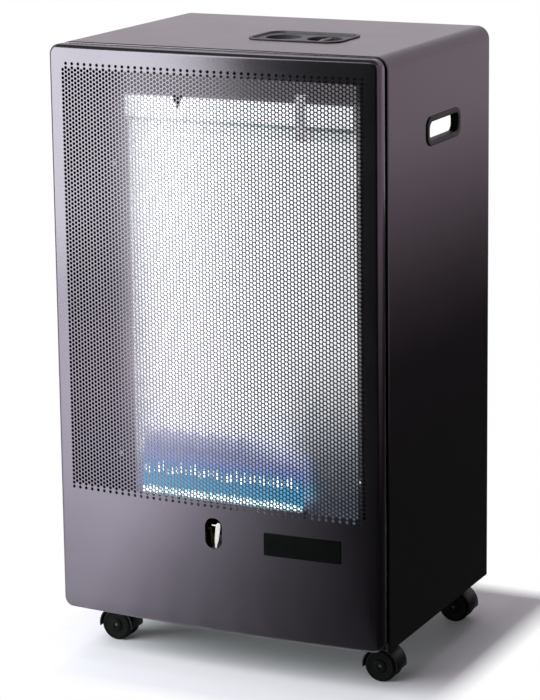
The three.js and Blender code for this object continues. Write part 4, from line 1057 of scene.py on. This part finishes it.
def flame_finish(name, stops, solid, low, high, strength, streaks, lean=0.0):
    """Glowing gas: its colour and how solid it looks change with height and with its streaks.

    It stands lower by the lean at the burner's right end.
    """
    finish = Finish(name, "bright_steel", Roughness=1.0, Specular_IOR_Level=0.0,
                    Base_Color=grey(0), Emission_Strength=strength)
    above = finish.axis("Z")
    if lean:
        above = above + finish.level(finish.axis("X"), 0.0, 120 * MM, 0.0, lean)
    ragged = finish.speckle(6 * MM, detail=3.0, rise=0.12)
    uneven = finish.level(above, low, high) + (ragged - 0.5) * streaks
    colours = [(at, tint(*colour)) for at, colour in stops]
    finish.shade("Emission Color", finish.ramp(uneven, colours))
    finish.shade("Alpha", finish.ramp(uneven, [(at, grey(share)) for at, share in solid]))
    return finish


def make_flames():
    """A low curtain of blue flame over the burner, its bright cones and the haze above."""
    lots = random.Random(11)
    middle = middle_of("burner_tube")
    base = burner_high.z
    left = burner_low.x + 3 * MM
    length = burner_high.x - burner_low.x - 6 * MM
    body = flame_finish(
        "flame_body",
        [(0.0, (0.45, 0.85, 1.0)), (0.15, (0.07, 0.42, 0.70)), (0.45, (0.08, 0.38, 0.68)),
         (0.7, (0.20, 0.34, 0.72)), (1.0, (0.42, 0.38, 0.70))],
        [(0.0, 0.96), (0.5, 0.92), (0.8, 0.6), (1.0, 0.0)],
        base, base + 60 * MM, strength=1.03, streaks=0.3)
    cones = flame_finish(
        "flame_cones",
        [(0.0, (0.7, 0.95, 1.0)), (0.5, (0.9, 0.97, 1.0)), (1.0, (0.6, 0.85, 1.0))],
        [(0.0, 0.95), (0.85, 0.95), (1.0, 0.4)],
        base, base + 55 * MM, strength=2.0, streaks=0.3)
    haze = flame_finish(
        "flame_haze",
        [(0.0, (0.17, 0.34, 0.72)), (0.5, (0.28, 0.36, 0.68)), (1.0, (0.52, 0.52, 0.78))],
        [(0.0, 0.85), (0.5, 0.72), (1.0, 0.0)],
        base + 20 * MM, base + 88 * MM, strength=0.82, streaks=0.25, lean=34 * MM)

    def curtain(y, low, high, thickness):
        """Upright sheet of flame with a ragged, rippled upper edge."""
        stations = 70
        wave = 3 * MM
        rings = []
        for i in range(stations + 1):
            x = left + length * i / stations
            top = high + wave * math.sin(i * 0.9) + wave * 0.6 * lots.uniform(-1, 1)
            waist = low + (top - low) * 0.5
            depth = thickness * (0.7 + 0.3 * math.sin(i * 1.7))
            ring = [(-depth, low), (depth, low), (0.8 * depth, waist),
                    (0.2 * depth, top), (-0.2 * depth, top), (-0.8 * depth, waist)]
            rings.append([(x, y + out, z) for out, z in ring])
        return skin(loft(rings), sharp=60.0)

    def tongue(x, y, low, tall, wide):
        profile = [(wide * 0.55, low), (wide, low + tall * 0.25), (wide * 0.7, low + tall * 0.6),
                   (wide * 0.05, low + tall)]
        return turned(profile, lambda u, v, level: (x + u, y + v * 0.7, level), 8)

    foot = base + 0.4 * MM
    near = curtain(middle.y, foot, base + 54 * MM, 3.2 * MM)
    piece("flame_curtain", near, body, "cabinet")
    behind = curtain(middle.y + 6 * MM, base + 22 * MM, base + 78 * MM, 1.5 * MM)
    piece("flame_glow", behind, haze, "cabinet")

    tongues = []
    roots = 52
    for i in range(roots):
        x = left + length * (i + 0.5) / roots + lots.uniform(-0.8, 0.8) * MM
        tall = lots.uniform(7, 11) * MM
        tongues.append(tongue(x, middle.y - 4.2 * MM, foot, tall, 1.9 * MM))
    streaks = 34
    for i in range(streaks):
        x = left + length * (i + 0.7) / (streaks + 0.6) + lots.uniform(-0.9, 0.9) * MM
        low = base + lots.uniform(24, 29) * MM
        tall = lots.uniform(9, 16) * MM
        tongues.append(tongue(x, middle.y - 4.6 * MM, low, tall, lots.uniform(0.9, 1.5) * MM))
    piece("flame_tips", skin(*tongues, sharp=60.0), cones, "cabinet")


# ---------------------------------------------------------------- everything else


def make_screws():
    """Dome-headed screws in the firebox's flared side walls."""
    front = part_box("firebox_casing")[0].y
    profile = in_mm((4.2, -0.4), (4.2, 0.5), (3.6, 1.4), (2.2, 2.1), (0.6, 2.35))
    slope = math.atan2(FIREBOX_FLARE, FIREBOX_DEPTH)
    heads = []
    for side in (-1, 1):
        out = Vector((-side * math.cos(slope), -math.sin(slope), 0))
        along = Vector((-side * math.sin(slope), math.cos(slope), 0))
        for z in SCREW_HEIGHTS:
            foot = Vector((side * (FIREBOX_BACK + FIREBOX_FLARE / 2), front + FIREBOX_DEPTH / 2, z))

            def lay(u, v, level, foot=foot, out=out, along=along):
                return foot + along * u + Vector((0, 0, v)) + out * level

            heads.append(turned(profile, lay, 24))
    piece("firebox_screws", skin(*heads), bright, "cabinet")


def make_electrode():
    """White insulator beside the pilot, leaning a little, with a wire across to the burner."""
    low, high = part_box("spark_electrode")
    y = (low.y + high.y) / 2
    foot_x = high.x - 8.6 * MM
    foot_z = 146 * MM
    wire_x = high.x - 4.3 * MM
    wire_z = 185.3 * MM
    lean = 0.12

    def leaning(u, v, level):
        return (foot_x + lean * (level - foot_z) + u, y + v, level)

    def level_left(u, v, level):
        return (wire_x - level, y + u, wire_z + v)

    post = turned(in_mm((1.1, 146), (1.1, 161), (1.9, 164), (2.5, 169), (2.8, 183.5),
                        (2.3, 187), (1.2, 188.2)), leaning, 32)
    wire = turned(in_mm((0.8, 1.0), (0.8, 7.4), (0.5, 7.9)), level_left, 16)
    piece("spark_electrode_body", skin(post, wire), ceramic, "cabinet", "spark_electrode")


def make_remaining():
    """The frame's other pieces, kept in shape, finished, and eased by so many millimetres."""
    for node, finish, rounding in (
        ("front_frame", inner_paint, 0.3),
        ("base_tray", inner_paint, 0.3),
        ("heat_shield", zinc, 0.3),
        ("rear_rail", paint, 0.3),
        ("cover_catch", bright, 0.2),
        ("firebox_casing", firebox, 0.3),
        ("reflector_sheet", reflector, 0.2),
        ("reflector_cap", reflector, 0.2),
        ("reflector_clip", inner_paint, 0.2),
        ("reflector_brace", lit_zinc, 0.2),
        ("burner_tube", zinc, 0.3),
        ("burner_bracket_left", zinc, 0.2),
        ("burner_bracket_right", zinc, 0.2),
        ("pilot_bracket", zinc, 0.2),
        ("pilot_burner", sooted_brass, 0.2),
        ("thermocouple_probe", copper, 0.2),
        ("valve_spindle", brass, 0.2),
        ("spindle_collar", bright, 0.2),
        ("valve_bracket", zinc, 0.2),
        ("gas_valve", brass, 0.8),
        ("hose_inlet", brass, 0.2),
        ("piezo_igniter", plastic, 0.4),
    ):
        refined(node, finish, rounding * MM)
    for node, finish in (("main_gas_pipe", copper), ("pilot_gas_pipe", copper),
                         ("thermocouple_lead", copper), ("igniter_lead", plastic)):
        refined(node, finish, 0.0, sharp=50.0)


# ---------------------------------------------------------------- studio

SHADOW_GLOW = 0.03
SHADOW_NEAR = 40 * MM
SHADOW_FAR = 78 * MM

WHITE = (1.0, 1.0, 1.0)
COOL = (0.86, 1.0, 0.97)
WARM = (1.0, 0.92, 1.0)


def make_floor():
    """Pale seamless floor: white in the distance, with the object's own shadow close by; the white
    glow is kept low near the footprint, so the shade there is partly the lamps' shadow and partly
    painted.
    """
    reach = 12.0
    corners = [(-reach, -reach, 0), (reach, -reach, 0), (reach, reach, 0), (-reach, reach, 0)]
    mesh = mesh_of("floor", corners, [(0, 1, 2, 3)])
    finish = Finish("pale_floor", Roughness=0.6, Specular_IOR_Level=0.2,
                    Base_Color=tint(0.88, 0.855, 0.895))
    glow = finish.node("Emission", {}, {"Color": tint(*WHITE), "Strength": 1.0})
    beside = abs(finish.axis("X")) - HALF_WIDTH
    ahead = abs(finish.axis("Y")) + CROWN_Y
    # Painted shade: the glow rises only from SHADOW_NEAR to SHADOW_FAR beyond the footprint, which
    # sets where the shadow ends.
    share = finish.level(beside.or_more(ahead), SHADOW_NEAR, SHADOW_FAR, SHADOW_GLOW, 1.0)
    lit_floor = Signal(finish, finish.shader.outputs[0])
    finish.blend("Material Output", finish.looked_at() * share, lit_floor, glow)
    mesh.materials.append(finish.material)
    stand("floor", mesh)


def make_world():
    """White surroundings for the eye and for reflections, a quieter light on the surfaces."""
    world = bpy.data.worlds.new("studio")
    bpy.context.scene.world = world
    sheet = NodeSheet(world)
    felt = sheet.node("Background", {}, {"Color": tint(0.96, 0.97, 1.0), "Strength": 0.12})
    background = sheet.tree.nodes["Background"]
    sheet.feed(background.inputs["Color"], tint(*WHITE))
    sheet.feed(background.inputs["Strength"], 1.0)
    seen = Signal(sheet, background.outputs[0])
    sheet.blend("World Output", sheet.looked_at(), felt, seen)


def lamp(name, place, aim, size, radiance, hue, glossy=True):
    """Soft box of an even brightness, facing a point."""
    width, height = size
    data = bpy.data.lights.new(name, "AREA")
    data.shape = "RECTANGLE"
    data.size = width
    data.size_y = height
    data.energy = radiance * math.pi * width * height
    data.color = hue
    thing = stand(name, data)
    thing.location = place
    thing.rotation_mode = "QUATERNION"
    thing.rotation_quaternion = (Vector(aim) - Vector(place)).to_track_quat("-Z", "Y")
    thing.visible_glossy = glossy


def screen(path, height):
    """A screen standing along a path on the floor."""
    points = [(x, y, z) for x, y in path for z in (0, height)]
    return points, [(2 * i, 2 * i + 2, 2 * i + 3, 2 * i + 1) for i in range(len(path) - 1)]


def level_card(corners, z):
    return [(x, y, z) for x, y in corners], [tuple(range(len(corners)))]


def card(name, shape, foot, head, axis="Z", span=(0.0, 1.0), hue=WHITE):
    """Board that shows only in reflections, its brightness graded along an axis."""
    mesh = mesh_of(name, *shape)
    most = max(foot, head, 0.001)
    finish = Finish(name, Roughness=1.0, Specular_IOR_Level=0.0, Base_Color=grey(0),
                    Emission_Strength=most)
    low, high = (tint(*[part * end / most for part in hue]) for end in (foot, head))
    if foot == head:
        finish.shade("Emission Color", low)
    else:
        rise = finish.level(finish.axis(axis), *span) ** 1.8
        finish.shade("Emission Color", finish.mixed(rise, low, high))
    mesh.materials.append(finish.material)
    board = stand(name, mesh)
    board.visible_camera = False
    board.visible_shadow = False
    board.visible_diffuse = False
    board.visible_transmission = False


def make_lights():
    """Soft boxes to the left and above, and boards for the paint and the steel to mirror."""
    side_aim = (0, -0.03, 1.02)
    lamp("key_box", (-1.66, -1.56, 1.02), side_aim, (1.72, 1.95), 7.0, COOL)
    lamp("key_edge", (-0.92, -2.20, 1.02), side_aim, (0.26, 1.95), 2.4, COOL)
    lamp("key_fringe", (-0.70, -2.28, 1.02), side_aim, (0.24, 1.95), 0.8, COOL)
    lamp("front_top_box", (-0.7, -1.6, 1.9), (0, -0.2, 0.7), (1.0, 0.6), 5.0, COOL)
    lamp("top_box", (-0.3, 0.3, 2.4), (0, 0, 0.4), (1.8, 1.8), 1.8, WARM, glossy=False)
    lamp("front_wash", (-0.5, -1.8, 1.6), (0, -0.2, 0.1), (1.5, 1.2), 5.4, WARM, glossy=False)

    far = [(-2.3, -0.94), (-0.5, -0.2)]
    bright_edge = [(-0.20, -0.2), (-0.36, -0.5), (-0.59, -1.13), (-0.95, -1.90), (-1.05, -2.15)]
    dark_edge = [(0.26, -0.2), (0.10, -0.5), (-0.15, -1.13), (-0.40, -1.90), (-0.50, -2.30)]
    fades = (0.80, 0.60, 0.43, 0.30, 0.20, 0.13, 0.08, 0.05)
    lines = [[(x + (u - x) * part / len(fades), y + (v - y) * part / len(fades))
              for (x, y), (u, v) in zip(bright_edge, dark_edge)] for part in range(len(fades) + 1)]
    strips = [("key_floor", bright_edge + far, 1.0)]
    strips += [(f"key_floor_edge_{i + 1}", lines[i + 1] + lines[i][::-1], share)
               for i, share in enumerate(fades)]
    for name, corners, share in strips:
        card(name, level_card(corners, 2 * MM), 5.6 * share, 2.5 * share, "Y", (-1.6, -0.3),
             (0.88, 0.95, 1.0))

    card("front_card", screen([(-0.45, -1.18), (0.3, -1.3), (1.3, -1.0), (2.0, 0.4)], 1.6), 0, 0)
    card("side_card", screen([(0.80, -0.95), (0.80, 3.4)], 1.4), 0.02, 0.78, span=(0.0, 0.43),
         hue=(1.0, 0.86, 0.96))
    card("rear_card", screen([(-4.0, 2.6), (1.2, 3.2)], 2.6), 0.68, 0.68, hue=(1.0, 0.93, 1.0))
    for name, (x0, y0), (x1, y1), height, glow in (
        ("ceiling_card", (-2, -2), (2, 2), 2.6, 0.25),
        ("front_floor", (-0.3, -1.25), (2, -0.205), 1 * MM, 0),
        ("right_floor", (0.22, -0.9), (0.8, 3), 1 * MM, 0.03),
    ):
        card(name, level_card([(x0, y0), (x1, y0), (x1, y1), (x0, y1)], height), glow, glow)


def make_camera():
    """The photograph's view: from the right and a little above, through a long lens."""
    azimuth = math.radians(26.036)
    elevation = math.radians(11.650)
    tilt = math.radians(-0.709)
    aim = Vector((56.76, -150.25, 524.01)) * MM
    distance = 3.0977
    away = Vector((math.sin(azimuth) * math.cos(elevation),
                   -math.cos(azimuth) * math.cos(elevation), math.sin(elevation)))
    data = bpy.data.cameras.new("camera")
    data.lens = 136.75
    data.sensor_width = 36
    data.shift_y = -100 / 700
    camera = stand("camera", data)
    camera.location = aim + away * distance
    camera.rotation_mode = "QUATERNION"
    camera.rotation_quaternion = (-away).to_track_quat("-Z", "Y") @ Quaternion((0, 0, 1), tilt)
    bpy.context.scene.camera = camera


make_camera()
make_world()
make_lights()
make_floor()
make_front_panel()
make_badge()
make_shell()
make_handle_trims()
make_rear_cover()
make_bezel()
make_knob()
make_button()
for caster in ("front_right", "front_left", "rear_right", "rear_left"):
    make_caster("caster_" + caster)
make_flames()
make_screws()
make_electrode()
make_remaining()

bpy.context.scene.view_settings.view_transform = "Standard"
